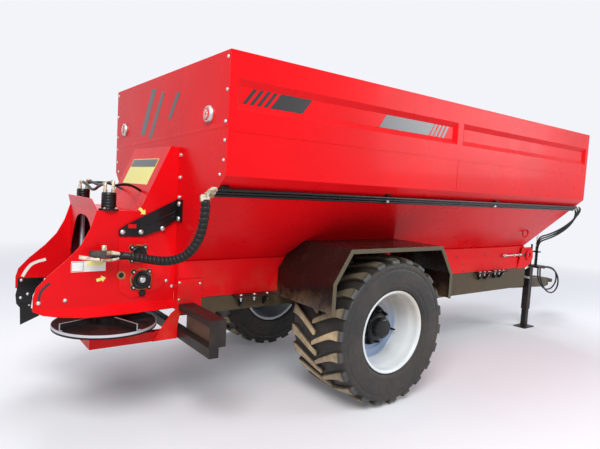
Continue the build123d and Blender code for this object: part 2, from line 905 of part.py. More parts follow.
def hose_clamp():
    # Clamp at the top of the post, round the hanging hoses.
    clamp = block(post_x - 4, post_x + 62, post_y - 90, post_y - 6, 900, 916)
    for i in range(pipe_count):
        k = i - (pipe_count - 1) / 2
        x = post_x + 26 - hose_pitch * 0.72 * k
        y = post_y - 52 - hose_pitch * 0.72 * k
        clamp -= cyl_z(x + 1, y - 1, hose_radius + 2.5, 800, 1000)
    return clamp


def side_valve():
    # Hydraulic valve block on the housing's right-hand side, with its ports.
    y = -valve_y
    face = -side_y - side_plate
    body = block(-574, -461, y - 25, y + 25, valve_z - 26, valve_z + 26)
    body += block(-461, valve_end, y - 28, y + 28, valve_z - 40, valve_z + 16)
    body += block(-560, -480, y + 24, face, valve_z - 20, valve_z + 20)
    body += Pos(-600, y, valve_z - 6) * Rot(0, 90, 0) * Cylinder(9, 60)
    return body


def front_bearing_plates():
    # Rounded plates that carry the conveyor's front shaft.
    around = [(-220, -155), (-140, 91), (42, 91), (102, 43), (110, -37), (62, -112), (-40, -147)]
    outline = [(front_shaft_x + x, shaft_z + z) for x, z in around]
    plates = []
    for side in (-1, 1):
        y0 = side * (channel_flare + 0.2)
        y1 = side * (channel_flare + 8.2)
        plate = along_y(outline, min(y0, y1), max(y0, y1))
        plate -= cyl_y(front_shaft_x, shaft_z, shaft_radius + 0.2, -500, 500)
        pad = cyl_y(front_shaft_x, shaft_z, 62, min(y1, side * 436), max(y1, side * 436))
        pad -= cyl_y(front_shaft_x, shaft_z, shaft_radius + 0.2, -500, 500)
        plates.append(plate + pad)
    return plates


def rear_bearing_plates():
    # Raised plates on the housing's sides with the flange bearings of the rear shaft.
    outline = [(-375, 1183), (-220, 1181), (-70, 935), (-72, 880), (-110, 845), (-282, 790), (-365, 845)]
    plates = []
    for side in (-1, 1):
        y0 = side * (side_y + side_plate)
        y1 = side * (side_y + side_plate + 6)
        y2 = side * (side_y + side_plate + 30)
        plate = along_y(outline, min(y0, y1), max(y0, y1))
        for x, z, r in ((rear_shaft_x, shaft_z, 55), (-261, 1075, 42)):
            plate += cyl_y(x, z, r, min(y1, y2), max(y1, y2))
        plate -= cyl_y(rear_shaft_x, shaft_z, shaft_radius + 0.2, -500, 500)
        plates.append(plate)
    return plates


def bracket_arm():
    # Black arm between the housing's side and the rear wall.
    y0 = -side_y - side_plate - 14
    y1 = -side_y - side_plate - 6.2
    outline = [
        (-376, 1190), (-376, 1226), (-335, 1257), (-14, 1421), (-14, 1290), (-104, 1225), (-233, 1186),
    ]
    arm = along_y(outline, y0, y1)
    flange = block(-wall - 9, -wall, y0 - 80, y1, 1285, 1425)
    pad = block(-370, -340, y1, -side_y - side_plate, 1200, 1225)
    return arm + flange + pad


def deflectors():
    # Black deflector plates inside the noses, each with a rounded skirt below it.
    pieces = []
    for side in (-1, 1):
        y0 = side * (side_y - deflector_plate)
        y1 = side * side_y
        outline = [(-825, 850), (-650, 838), (-700, 762), (-826, 762)]
        plate = along_y(outline, min(y0, y1), max(y0, y1))
        y2 = side * (side_y - deflector_plate - 3)
        skirt = [(-826, 800), (-705, 800), (-740, 705), (-745, 640), (-790, 606), (-828, 640), (-838, 720)]
        plate += along_y(skirt, *sorted((y0, y2)))
        pieces.append(plate)
    return pieces


def deflector_flaps():
    # Rubber flaps that hang from the deflectors' skirts.
    flaps = []
    for side in (-1, 1):
        y0 = side * (side_y - deflector_plate - 3 - seat_gap)
        y1 = side * (side_y - deflector_plate - 3 - seat_gap - flap_thick)
        outline = [(-812, 655), (-743, 655), (-743, 616), (-692, 598), (-690, 560), (-808, 508)]
        flaps.append(along_y(outline, *sorted((y0, y1))))
    return flaps


def hanger_feet():
    # Bolted feet under the channel's edge, each over a gusset on the rail.
    feet = []
    y0 = channel_flare + seat_gap
    y1 = channel_flare + hanger_reach
    for side in (-1, 1):
        for x0, x1 in hanger_spans:
            top = block(x0, x1, *sorted((side * y0, side * y1)), channel_low - hanger_plate, channel_low)
            for x in (x0 + 60, x1 - 60):
                profile = [(y0, channel_low - hanger_plate), (y1 - 15, channel_low - hanger_plate),
                           (y0 + 25, channel_low - 85), (y0, channel_low - 85)]
                face = make_face(Polyline(*[(side * y, z) for y, z in profile], close=True))
                top += along_x(face, x - 5, x + 5)
            feet.append(top)
    return feet


def lifting_rings():
    # Rings welded to the slopes near the front, for lifting the hopper.
    rings = []
    slope = [(-foot_half + 200, foot_z), (-foot_half, foot_z), (-half, knuckle_z), (-half + 200, knuckle_z)]
    inside = along_x(make_face(Polyline(*slope, close=True)), 0, hopper_length)
    y = -slope_y(ring_z) - 12
    ring = cyl_y(ring_x, ring_z, ring_radius, y - 7, y + 7) - inside
    ring -= cyl_y(ring_x, ring_z, ring_bore, y - 20, y + 20)
    rings.append(ring)
    rings.append(other_side(ring))
    return rings


def foot_plates():
    # Side plates that tie the channel, rail and guard frame together at the rear.
    plates = []
    for side in (-1, 1):
        y0 = side * channel_flare
        y1 = side * (channel_flare + foot_plate)
        rear = bar_x - bar_size / 2 - seat_gap
        outline = [
            (-wall, channel_ridge_z),
            (foot_plate_front, channel_ridge_z),
            (foot_plate_front, foot_plate_low),
            (rear + 12, foot_plate_low),
            (rear - 3, foot_plate_low - 80),
            (rear - 3, guard_low),
            (rear - gusset_reach, guard_low),
            (-wall - 40, foot_plate_low + 10),
            (-wall, foot_plate_low + 40),
        ]
        plate = along_y(outline, min(y0, y1), max(y0, y1))
        plates.append(plate)
    return plates


def jack_bracket():
    # Bracket between the drawbar and the jack's tube.
    h = jack_outer / 2
    share = (jack_x - drawbar_start_x) / (drawbar_end_x - drawbar_start_x)
    start_y = rail_y - rail_width / 2 - drawbar_width / 2
    beam_y = start_y + (drawbar_end_y - start_y) * share
    beam_z = drawbar_start_z + (drawbar_end_z - drawbar_start_z) * share
    y1 = -beam_y - drawbar_width / 2 + 4
    bracket = block(jack_x - 60, jack_x + 60, -jack_y + h, y1 + 40, beam_z - 40, beam_z + 40)
    return (bracket - drawbar_beam(-1)).solids().sort_by(Axis.Y)[0]


def main():
    pieces = {}
    side = hopper_side()
    pieces["hopper_side_right"] = side
    pieces["hopper_side_left"] = other_side(side)
    pieces["hopper_rear_wall"] = rear_wall()
    pieces["hopper_front_wall"] = front_wall()
    pieces["hopper_brace"] = hopper_brace()
    sill = channel()
    pieces["channel_right"] = sill
    pieces["channel_left"] = other_side(sill)
    pieces["floor_sheet"] = floor_sheet()
    pieces["conveyor"] = conveyor()
    pieces["conveyor_rear_shaft"] = conveyor_shaft(rear_shaft_x)
    pieces["conveyor_front_shaft"] = conveyor_shaft(front_shaft_x)
    beam = rail()
    pieces["rail_right"] = beam
    pieces["rail_left"] = other_side(beam)
    pieces["cross_members"] = Compound(children=chassis_cross())
    pieces["drawbar"] = drawbar()
    pieces["axle"] = axle()
    wheel = {"rim": rim(), "hub": hub(), "tyre": tyre()}
    for name, piece in wheel.items():
        pieces[name + "_right"] = piece
        pieces[name + "_left"] = other_side(piece)
    guard = fender()
    pieces["fender_right"] = guard
    pieces["fender_left"] = other_side(guard)
    plate = housing_side()
    pieces["housing_side_right"] = plate
    pieces["housing_side_left"] = other_side(plate)
    pieces["housing_top"] = housing_top_plate()
    pieces["apron"] = apron()
    for name, sign in (("right", -1), ("left", 1)):
        pieces["disc_" + name] = disc(sign)
        pieces["disc_motor_" + name] = disc_motor(sign)
    pieces["rear_bearing_plates"] = Compound(children=rear_bearing_plates())
    pieces["front_bearing_plates"] = Compound(children=front_bearing_plates())
    pieces["bracket_arm"] = bracket_arm()
    pieces["deflectors"] = Compound(children=deflectors())
    pieces["foot_plates"] = Compound(children=foot_plates())
    pieces["guard_frame"] = guard_frame()
    pieces["light_bar"] = light_bar()
    pieces["bar_panels"] = Compound(children=bar_panels())
    pieces["hanger_feet"] = Compound(children=hanger_feet())
    pieces["lifting_rings"] = Compound(children=lifting_rings())
    pieces["deflector_flaps"] = Compound(children=deflector_flaps())
    pieces["jack_tube"] = jack_tube()
    pieces["jack_bracket"] = jack_bracket()
    pieces["jack_leg"] = jack_leg()
    pieces["pipes"] = Compound(children=pipes())
    pieces["pipe_clamps"] = Compound(children=pipe_clamps())
    pieces["round_lamps"] = Compound(children=round_lamps())
    pieces["pipe_fittings"] = Compound(children=pipe_fittings())
    pieces["side_valve"] = side_valve()
    pieces["hose_post"] = hose_post()
    pieces["hose_clamp"] = hose_clamp()
    pieces["hose_rear"] = hose(rear_hose_route(), rear_hose_radius)
    for i in range(pipe_count):
        pieces["hose_front_" + str(i + 1)] = hose(front_hose_route(i), hose_radius)
    for i in range(2):
        pieces["hose_loop_" + str(i + 1)] = hose(loop_route(i), hose_radius)
    for name, shape in pieces.items():
        save(name, shape)


if __name__ == "__main__":
    main()
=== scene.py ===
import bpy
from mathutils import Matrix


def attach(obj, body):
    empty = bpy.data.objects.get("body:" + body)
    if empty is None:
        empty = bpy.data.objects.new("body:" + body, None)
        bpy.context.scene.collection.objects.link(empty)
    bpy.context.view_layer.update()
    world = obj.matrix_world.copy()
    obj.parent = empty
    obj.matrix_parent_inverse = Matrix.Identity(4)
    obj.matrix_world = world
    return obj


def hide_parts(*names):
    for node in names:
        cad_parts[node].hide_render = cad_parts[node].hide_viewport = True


bl_info = {
    "name": "Manure spreader",
    "version": (1, 0, 0),
    "blender": (4, 5, 0),
    "location": "View3D > Sidebar > Spreader",
    "description": "Dresses the frame of a single-axle spreader with paint, tyres, hoses and fittings",
    "category": "Object",
}

import math

import bmesh
import bpy
import numpy as np
from mathutils import Matrix, Vector

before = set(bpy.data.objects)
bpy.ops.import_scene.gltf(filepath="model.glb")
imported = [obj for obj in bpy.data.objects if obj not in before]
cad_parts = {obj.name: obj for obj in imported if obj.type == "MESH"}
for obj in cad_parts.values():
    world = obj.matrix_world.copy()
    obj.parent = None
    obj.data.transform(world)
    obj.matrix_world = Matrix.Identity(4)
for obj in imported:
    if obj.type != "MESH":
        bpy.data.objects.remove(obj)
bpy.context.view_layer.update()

# Shapes are worked out in metres with x forward from the hopper's rear wall, y to the left and z up
# from the ground. The frame's own x is REAR_WALL further back.
REAR_WALL = -2.457
TAU = 2 * math.pi

# The hopper: half widths at the top and the foot, the places of its bends and seams, and its rear wall's face.
HALF = 1.0
FOOT_HALF = 0.383
KNUCKLE_Z = 1.589
FOOT_Z = 1.020
SEAM_Z = 1.838
SEAM_X = 2.056
REAR_FACE = -0.005

# The wheels, the spreading discs with their motors, and the round lamps.
WHEEL_X = 1.386
WHEEL_Z = 0.545
TYRE_FACE = 1.065
TYRE_HALF = 0.275
DISC_X = -0.428
DISC_Y = 0.315
MOTOR_Z = 1.343
LAMP_Y = 0.771
LAMP_Z = 1.940

# Faces that other pieces lie on, as distances from the middle: the housing's side and its raised plate, the
# bracket arm, and the channels' bolted plates. SKIN is the thickness of a decal.
SIDE_Y = 0.350
RAISED_Y = SIDE_Y + 0.006
ARM_Y = 0.3646
PLATE_Y = 0.4205
SKIN = 0.0006

# The post that carries the front hoses, and the pipes along the slope: how far in front of it they lie, and how
# far apart.
POST_X = 4.890
POST_Y = -0.158
SLOPE_LONG = math.hypot(HALF - FOOT_HALF, KNUCKLE_Z - FOOT_Z)
OUT_Y = -(KNUCKLE_Z - FOOT_Z) / SLOPE_LONG
OUT_Z = -(HALF - FOOT_HALF) / SLOPE_LONG
PIPE_LIFT = 0.023
PIPE_STEP = 0.024

# The background, as a display colour.
PALE = (243, 244, 250)


def slope_y(z):
    """How far out the lower slope lies at a height: a straight line from the foot to the knuckle."""
    return FOOT_HALF + (HALF - FOOT_HALF) * (z - FOOT_Z) / (KNUCKLE_Z - FOOT_Z)


PIPE_ZS = [KNUCKLE_Z - 0.062 - i * PIPE_STEP * (KNUCKLE_Z - FOOT_Z) / SLOPE_LONG for i in range(3)]
FRONT_Y = [-slope_y(z) + PIPE_LIFT * OUT_Y for z in PIPE_ZS]
FRONT_Z = [z + PIPE_LIFT * OUT_Z for z in PIPE_ZS]


# ---------------------------------------------------------------- materials

class Wire:
    """One socket of a shader, so that sums and products are written as Python expressions."""

    def __init__(self, nodes, socket):
        self.nodes = nodes
        self.socket = socket

    def maths(self, operation, other=None, swap=False):
        """A Math node on this socket, and on another socket or number, which comes first where swap is set."""
        first, second = (other, self) if swap else (self, other)
        values = [first] if other is None else [first, second]
        return self.nodes.add("ShaderNodeMath", {"operation": operation}, dict(enumerate(values)))

    def __add__(self, other):
        return self.maths("ADD", other)

    def __radd__(self, other):
        return self.maths("ADD", other)

    def __sub__(self, other):
        return self.maths("SUBTRACT", other)

    def __rsub__(self, other):
        return self.maths("SUBTRACT", other, swap=True)

    def __mul__(self, other):
        return self.maths("MULTIPLY", other)

    def __rmul__(self, other):
        return self.maths("MULTIPLY", other)

    def __pow__(self, other):
        return self.maths("POWER", other)

    def __rpow__(self, other):
        return self.maths("POWER", other, swap=True)

    def __abs__(self):
        return self.maths("ABSOLUTE")

    def ramp(self, low, high):
        """0 below low, 1 above high, straight between."""
        inputs = {"Value": self, "From Min": low, "From Max": high}
        return self.nodes.add("ShaderNodeMapRange", {"clamp": True}, inputs)


class Nodes:
    """The nodes of a material or of the world, made and joined by one method."""

    def __init__(self, owner):
        owner.use_nodes = True
        self.owner = owner
        self.tree = owner.node_tree

    def add(self, kind, settings=None, inputs=None, output=0):
        """A node with its settings and with values or links in its sockets. It gives one of its outputs."""
        node = self.tree.nodes.new(kind)
        for key, value in (settings or {}).items():
            setattr(node, key, value)
        for key, value in (inputs or {}).items():
            self.join(value, node.inputs[key])
        return Wire(self, node.outputs[output])

    def join(self, value, socket):
        """Links a socket to a wire, or sets it to a number or a colour."""
        if isinstance(value, Wire):
            self.tree.links.new(value.socket, socket)
        elif isinstance(value, tuple) and len(value) == 3 and len(socket.default_value) == 4:
            socket.default_value = (*value, 1.0)
        else:
            socket.default_value = value

    def place(self):
        """The point being shaded, in the object's own metres."""
        return self.add("ShaderNodeTexCoord", output="Object")

    def parts(self):
        """That point's x, y and z."""
        first = self.add("ShaderNodeSeparateXYZ", {}, {0: self.place()})
        return [Wire(self, out) for out in first.socket.node.outputs]

    def noise(self, scale, detail, low, high, rough=0.55):
        """Clouds from 0 to 1: 0 where the noise is below low, 1 where it is above high."""
        inputs = {"Vector": self.place(), "Scale": scale, "Detail": detail, "Roughness": rough}
        return self.add("ShaderNodeTexNoise", {}, inputs).ramp(low, high)

    def mix(self, share, first, second):
        """The first colour where share is 0, the second where it is 1."""
        return self.add("ShaderNodeMix", {"data_type": "RGBA"}, {0: share, 6: first, 7: second}, output=2)

    def bump(self, height, strength, distance):
        """The normal of a surface that rises and falls with the height."""
        inputs = {"Height": height, "Strength": strength, "Distance": distance}
        return self.add("ShaderNodeBump", {}, inputs)

    def seen(self):
        """1 where the camera or a reflection looks, and 0 for the light that falls on things."""
        camera = self.add("ShaderNodeLightPath", output="Is Camera Ray")
        gloss = self.add("ShaderNodeLightPath", output="Is Glossy Ray")
        return camera.maths("MAXIMUM", gloss)

    def blend(self, share, first, second, output):
        """Joins two shaders to the output node: the first where share is 0, the second where it is 1."""
        both = self.add("ShaderNodeMixShader", {}, {0: share, 1: first, 2: second})
        self.join(both, self.tree.nodes[output].inputs[0])

    def finish(self, **sockets):
        """Sets or joins the main shader's sockets, with _ for a space in their names."""
        shader = self.tree.nodes["Principled BSDF"]
        for key, value in sockets.items():
            self.join(value, shader.inputs[key.replace("_", " ")])
        return self.owner


def linear(red, green, blue):
    """A display colour from 0 to 255 as linear light."""
    def one(value):
        value = value / 255.0
        return value / 12.92 if value <= 0.04045 else ((value + 0.055) / 1.055) ** 2.4
    return (one(red), one(green), one(blue))


def diagonal(first, second):
    """The root of the sum of two squares."""
    return (first * first + second * second) ** 0.5


MADE = {}


def once(function):
    """Each finish is made one time and then shared. Its material has the function's name."""
    def made():
        name = function.__name__
        if name not in MADE:
            nodes = Nodes(bpy.data.materials.new(name))
            MADE[name] = function(nodes, bpy.context.scene.spreader_paint)
        return MADE[name]
    return made


def plain(n, colour, **sockets):
    """One colour all over."""
    return n.finish(Base_Color=linear(*colour), **sockets)


def grained(n, noise, pale, dark, rough, more, **sockets):
    """Clouds from a pale colour to a dark one, and rougher where it is dark."""
    grain = n.noise(*noise)
    colour = n.mix(grain, linear(*pale), linear(*dark))
    return n.finish(Base_Color=colour, Roughness=grain * more + rough, **sockets)


def enamel(n, colour, roughness, coat_roughness=0.06):
    """The thin gloss that all the red paint has."""
    return n.finish(Base_Color=colour, Roughness=roughness, Coat_Weight=0.04, Coat_Roughness=coat_roughness,
                    Specular_IOR_Level=0.10)


def shade(colour, share):
    """A colour with each of its parts times a share."""
    return tuple(part * share for part in colour)


@once
def red_paint(n, looks):
    """The body colour, a little darker in wide clouds."""
    colour = n.mix(n.noise(1.3, 3.0, 0.35, 0.7), tuple(looks.body), shade(looks.body, 0.86))
    return enamel(n, colour, n.noise(6.0, 4.0, 0.3, 0.8) * 0.08 + looks.body_rough)


@once
def housing_paint(n, looks):
    """The body paint, with painted shade in dark maroon on the inner faces ahead of the rear cover."""
    x, y, z = n.parts()
    # inside marks the painted shade: the inner faces forward of the rear cover, between the housing's foot and
    # its top plate.
    inside = (1.0 - abs(y).ramp(0.3455, 0.3465)) * x.ramp(REAR_WALL - 0.500, REAR_WALL - 0.492)
    inside = inside * (1.0 - z.ramp(1.3425, 1.3428)) * z.ramp(0.90, 1.0)
    unshaded_paint = n.mix(n.noise(1.6, 3.0, 0.35, 0.7), tuple(looks.body), shade(looks.body, 0.88))
    # The painted shade is the dark maroon linear(34, 6, 10).
    return enamel(n, n.mix(inside * 0.93, unshaded_paint, linear(34, 6, 10)), inside * 0.3 + looks.body_rough)


@once
def red_dusty(n, looks):
    """The body paint under brown dust that thins out with height."""
    x, y, z = n.parts()
    dust = n.noise(9.0, 5.0, 0.45, 0.75) * (1.0 - z.ramp(0.75, 1.15))
    colour = n.mix(dust * 0.35, tuple(looks.body), linear(176, 92, 66))
    return enamel(n, colour, 0.38 + dust * 0.25, coat_roughness=0.12)


@once
def black_paint(n, looks):
    """The chassis colour with brown dust in clouds."""
    dust = n.noise(7.0, 5.0, 0.42, 0.78)
    colour = n.mix(dust * 0.5, tuple(looks.chassis), linear(74, 64, 52))
    return n.finish(Base_Color=colour, Roughness=0.40 + dust * 0.28, Coat_Weight=0.06, Coat_Roughness=0.18,
                    Specular_IOR_Level=0.2)


@once
def chassis_paint(n, looks):
    """Dark paint under an even film of olive dust."""
    dust = n.noise(6.0, 5.0, 0.35, 0.75)
    colour = n.mix(dust * 0.3 + 0.5, tuple(looks.chassis), linear(98, 84, 58))
    return n.finish(Base_Color=colour, Roughness=0.4 + dust * 0.25, Coat_Weight=0.05, Coat_Roughness=0.2,
                    Specular_IOR_Level=0.2)


@once
def fender_paint(n, looks):
    """Brown-black sheet, sandy near its foot, with a paler olive outer edge that is a painted highlight."""
    x, y, z = n.parts()
    dust = n.noise(7.0, 5.0, 0.42, 0.78)
    sheet = n.mix(dust * 0.3, linear(34, 22, 20), linear(56, 44, 38))
    sand = (1.0 - z.ramp(0.70, 0.86)) * n.noise(9.0, 5.0, 0.4, 0.6)
    sheet = n.mix(sand * 0.5, sheet, linear(150, 120, 88))
    # The paler olive outer edge is a painted highlight on the lip.
    colour = n.mix(abs(y).ramp(1.0455, 1.0465), sheet, linear(88, 80, 62))
    return n.finish(Base_Color=colour, Roughness=0.22 + dust * 0.16, Coat_Weight=0.1, Coat_Roughness=0.1,
                    Specular_IOR_Level=0.25)


@once
def gloss_black(n, looks):
    """Black paint, glossier in small clouds."""
    return plain(n, (18, 17, 18), Roughness=n.noise(14.0, 3.0, 0.3, 0.8) * 0.1 + 0.26, Coat_Weight=0.1,
                 Coat_Roughness=0.1, Specular_IOR_Level=0.25)


@once
def hose_rubber(n, looks):
    """Black rubber with a fine grain in its gloss."""
    return plain(n, (20, 20, 19), Roughness=n.noise(60.0, 3.0, 0.3, 0.8) * 0.12 + 0.34, Specular_IOR_Level=0.3)


def about_axle(n):
    """Places on a wheel: forward of its axis, out from the middle, height, height above the axis, radius."""
    x, y, z = n.parts()
    along, up = x - (WHEEL_X + REAR_WALL), z - WHEEL_Z
    return along, abs(y), z, up, diagonal(along, up)


@once
def tyre_rubber(n, looks):
    """Dark walls with dirt in clouds, a grey painted highlight round the shoulders, and tread crests that carry
    tan dust, the more so the lower they are; the upper crests, left dark, are painted shade under the fender.
    """
    along, out, z, up, radius = about_axle(n)
    dirt = n.noise(5.0, 6.0, 0.38, 0.66, rough=0.6)
    grit = n.noise(38.0, 4.0, 0.35, 0.75, rough=0.6)
    crest = radius.ramp(0.524, 0.540) * (1.0 - out.ramp(1.035, 1.05))
    # low: the dust fades upwards, so the upper crests stay dark as painted shade under the fender.
    low = 1.0 - z.ramp(0.62, 0.86)
    side = n.mix(dirt * 0.5, linear(34, 33, 32), linear(70, 60, 48))
    # edge: the grey ring on the shoulders is a painted highlight.
    edge = n.mix(out.ramp(1.05, 1.066) * radius.ramp(0.500, 0.530), side, linear(96, 96, 96))
    tan = n.mix(grit * 0.5, linear(206, 184, 146), linear(150, 130, 100))
    colour = n.mix(crest * (0.18 + low * 0.80 * (0.35 + dirt * 0.65)), edge, tan)
    return n.finish(Base_Color=colour, Roughness=0.5 + grit * 0.2, Normal=n.bump(grit, 0.2, 0.002))


@once
def rim_paint(n, looks):
    """Silver paint in clouds, with a painted warm light in cream on the upper front of the barrel and a painted
    bluish shade on the disc.
    """
    along, out, z, up, radius = about_axle(n)
    cloud = n.noise(5.0, 4.0, 0.35, 0.75)
    # high: where the painted warm light lies, on the upper front of the barrel.
    high = up.ramp(-0.02, 0.16) * along.ramp(-0.10, 0.12)
    silver = n.mix(cloud * 0.5, linear(224, 229, 232), linear(200, 199, 190))
    silver = n.mix(high * 0.65, silver, linear(186, 168, 140))
    # dish: the painted bluish shade on the disc, fainter under the painted warm light.
    dish = (1.0 - radius.ramp(0.250, 0.262)) * (1.0 - high * 0.7)
    colour = n.mix(dish * 0.8, silver, linear(118, 148, 192))
    return n.finish(Base_Color=colour, Roughness=0.3 + cloud * 0.12, Coat_Weight=0.3, Coat_Roughness=0.1)


@once
def dusty_plate(n, looks):
    """A brown sheet in two shades of dust."""
    return grained(n, (8.0, 5.0, 0.35, 0.75), (112, 92, 74), (82, 64, 52), 0.5, 0.2)


@once
def bright_steel(n, looks):
    """Bright plated steel with a fine grain."""
    return grained(n, (40.0, 4.0, 0.3, 0.8), (214, 214, 212), (172, 172, 170), 0.3, 0.15, Metallic=0.85)


@once
def dark_steel(n, looks):
    """Grey steel with a coarser grain."""
    return grained(n, (22.0, 4.0, 0.3, 0.8), (92, 88, 84), (54, 50, 48), 0.42, 0.2, Metallic=0.7)


@once
def fitting_cream(n, looks):
    """Plated fittings, yellowed in places."""
    return grained(n, (34.0, 3.0, 0.4, 0.62), (226, 216, 196), (150, 128, 96), 0.34, 0.15, Metallic=0.35)


@once
def gasket_tan(n, looks):
    """Tan gasket board, darker in clouds."""
    colour = n.mix(n.noise(30.0, 3.0, 0.4, 0.7), linear(176, 122, 66), linear(120, 74, 40))
    return n.finish(Base_Color=colour, Roughness=0.5)


@once
def disc_steel(n, looks):
    """A dark plate: only its rim, its vanes' edges and the shaft's end are bright, the shaft's end as a painted
    highlight.
    """
    x, y, z = n.parts()
    radius = diagonal(x - (DISC_X + REAR_WALL), abs(y) - DISC_Y)
    rim = radius.ramp(0.300, 0.3035) * z.ramp(0.640, 0.641) * (1.0 - z.ramp(0.6565, 0.6575))
    wear = n.noise(12.0, 5.0, 0.4, 0.75)
    top = n.mix(wear * 0.6, linear(24, 18, 18), linear(52, 36, 30))
    # shaft: the shaft's end painted silver as a highlight.
    shaft = (1.0 - radius.ramp(0.0165, 0.0175)) * z.ramp(0.72, 0.73)
    vane = z.ramp(0.6565, 0.6575) * radius.ramp(0.298, 0.2985)
    vane = vane.maths("MAXIMUM", z.ramp(0.6945, 0.6955) * (1.0 - z.ramp(0.6990, 0.7000)))
    bright = rim.maths("MAXIMUM", shaft).maths("MAXIMUM", vane * 0.8)
    colour = n.mix(bright, top, linear(196, 198, 202))
    return n.finish(Base_Color=colour, Roughness=0.45 + wear * 0.2, Metallic=bright * 0.6,
                    Specular_IOR_Level=0.2)


@once
def slot_light(n, looks):
    """A pale band painted where a slot shows the lit ground behind it."""
    return plain(n, (236, 234, 226), Roughness=0.5)


@once
def decal_black(n, looks):
    """Glossy black film."""
    return plain(n, (20, 17, 20), Roughness=0.3, Coat_Weight=0.4, Coat_Roughness=0.08)


@once
def sign_yellow(n, looks):
    """Plain yellow film."""
    return plain(n, (236, 232, 120), Roughness=0.35, Coat_Weight=0.3)


@once
def sign_white(n, looks):
    """Plain white film."""
    return plain(n, (232, 230, 226), Roughness=0.35, Coat_Weight=0.3)


@once
def lamp_red(n, looks):
    """A red lens with a ring of pale petals: the sine of eight times the turn about its middle."""
    x, y, z = n.parts()
    across, up = abs(y) - LAMP_Y, z - LAMP_Z
    angle = n.add("ShaderNodeMath", {"operation": "ARCTAN2"}, {0: up, 1: across})
    radius = diagonal(across, up)
    petals = (angle * 8.0).maths("SINE").ramp(-0.2, 0.4)
    white = petals * radius.ramp(0.010, 0.012) * (1.0 - radius.ramp(0.024, 0.026))
    colour = n.mix(white, linear(214, 24, 30), linear(240, 214, 208))
    return n.finish(Base_Color=colour, Roughness=0.15, Coat_Weight=0.8)


# ------------------------------------------------------------------- shapes

def grid_faces(rows, columns, wrap_rows=False, wrap_columns=False):
    """Quads of a grid of points, closed round in either direction."""
    i = np.arange(rows if wrap_rows else rows - 1)
    j = np.arange(columns if wrap_columns else columns - 1)
    i, j = (a.ravel() for a in np.meshgrid(i, j, indexing="ij"))
    i2 = (i + 1) % rows
    j2 = (j + 1) % columns
    quads = np.stack([i * columns + j, i2 * columns + j, i2 * columns + j2, i * columns + j2], axis=1)
    return quads.tolist()


def grid(points, wrap_rows=False, wrap_columns=False, caps=False):
    """A surface on a grid of points, its first and last rows closed by flat faces where caps is set."""
    points = np.asarray(points, float)
    rows, columns = points.shape[:2]
    faces = grid_faces(rows, columns, wrap_rows, wrap_columns)
    if caps:
        faces.append(list(range(columns))[::-1])
        faces.append([(rows - 1) * columns + k for k in range(columns)])
    return points.reshape(-1, 3), faces


def prism(outline, axis, start, end):
    """An outline in the two other directions, pushed along one axis from start to end."""
    flat = np.asarray(outline, float)
    rows = []
    for level in (start, end):
        row = np.empty((len(flat), 3))
        others = [k for k in range(3) if k != axis]
        row[:, axis] = level
        row[:, others[0]] = flat[:, 0]
        row[:, others[1]] = flat[:, 1]
        rows.append(row)
    return grid(np.array(rows), wrap_columns=True, caps=True)


def block(x0, x1, y0, y1, z0, z1):
    """A box between three pairs of levels."""
    return prism([(y0, z0), (y1, z0), (y1, z1), (y0, z1)], 0, x0, x1)


def ring_frame(axis):
    """Two directions at right angles to an axis."""
    axis = np.asarray(axis, float)
    axis = axis / np.linalg.norm(axis)
    helper = np.array([0.0, 0.0, 1.0]) if abs(axis[2]) < 0.9 else np.array([1.0, 0.0, 0.0])
    first = np.cross(helper, axis)
    first /= np.linalg.norm(first)
    return axis, first, np.cross(axis, first)


def turned(profile, centre, axis, steps=32, closed=False):
    """A profile of (radius, distance along the axis) turned about it: each point's radius times the cosine and
    the sine of the turn on two directions across the axis, and its distance on the axis. A closed profile comes
    back to its start, and any other has flat ends."""
    profile = np.asarray(profile, float)
    axis, first, second = ring_frame(axis)
    angle = np.arange(steps) * TAU / steps
    spokes = np.cos(angle)[:, None] * first + np.sin(angle)[:, None] * second
    points = centre + profile[:, 0][:, None, None] * spokes + profile[:, 1][:, None, None] * axis
    return grid(points, wrap_rows=closed, wrap_columns=True, caps=not closed)


def bolt(centre, axis, size=0.012, tall=0.009, washer=True):
    """A six-sided head with a chamfered top, turned in six steps, on a washer."""
    head = turned([(size, 0.0), (size, tall * 0.8), (size * 0.82, tall), (size * 0.3, tall)],
                  np.asarray(centre) + np.asarray(axis) * (0.002 if washer else 0.0), axis, 6)
    if not washer:
        return [head]
    disc = turned([(size * 1.35, 0.0), (size * 1.35, 0.0018), (size * 0.6, 0.0022)], centre, axis, 14)
    return [head, disc]


def domes(places, axis, size):
    """Rounded bolt heads: the radius falls as the cosine of an angle while the height grows as its sine."""
    profile = [(size * math.cos(t * 1.45), size * 0.62 * math.sin(t * 1.5)) for t in np.linspace(0, 1, 5)]
    return [turned(profile, place, axis, 12) for place in places]


def stud(radius, tall, top_radius, top, centre, axis, steps):
    """A short round or six-sided bar with a chamfered end."""
    return turned([(radius, 0.0), (radius, tall), (top_radius, top), (0.001, top)], centre, axis, steps)


def around(count, lead=0.0):
    """Angles spread evenly over a turn."""
    return [lead + TAU * k / count for k in range(count)]


def carried(path):
    """The way along a path at each point, and two directions across it that don't twist: each is the one
    before it with its part along the path taken out."""
    run = np.gradient(path, axis=0)
    run /= np.linalg.norm(run, axis=1)[:, None]
    first = ring_frame(run[0])[1]
    sides = np.empty_like(run)
    for k, way in enumerate(run):
        first = first - way * first.dot(way)
        first /= np.linalg.norm(first)
        sides[k] = first
    return run, sides, np.cross(run, sides)


def tube(path, radius, sides=12):
    """A round tube along a path: cosine and sine of the turn on the two directions across it."""
    path = np.asarray(path, float)
    run, first, second = carried(path)
    angle = (np.arange(sides) * TAU / sides)[None, :, None]
    radius = np.broadcast_to(radius, (len(path),))[:, None, None]
    section = np.cos(angle) * first[:, None] + np.sin(angle) * second[:, None]
    return grid(path[:, None] + radius * section, wrap_columns=True, caps=True)


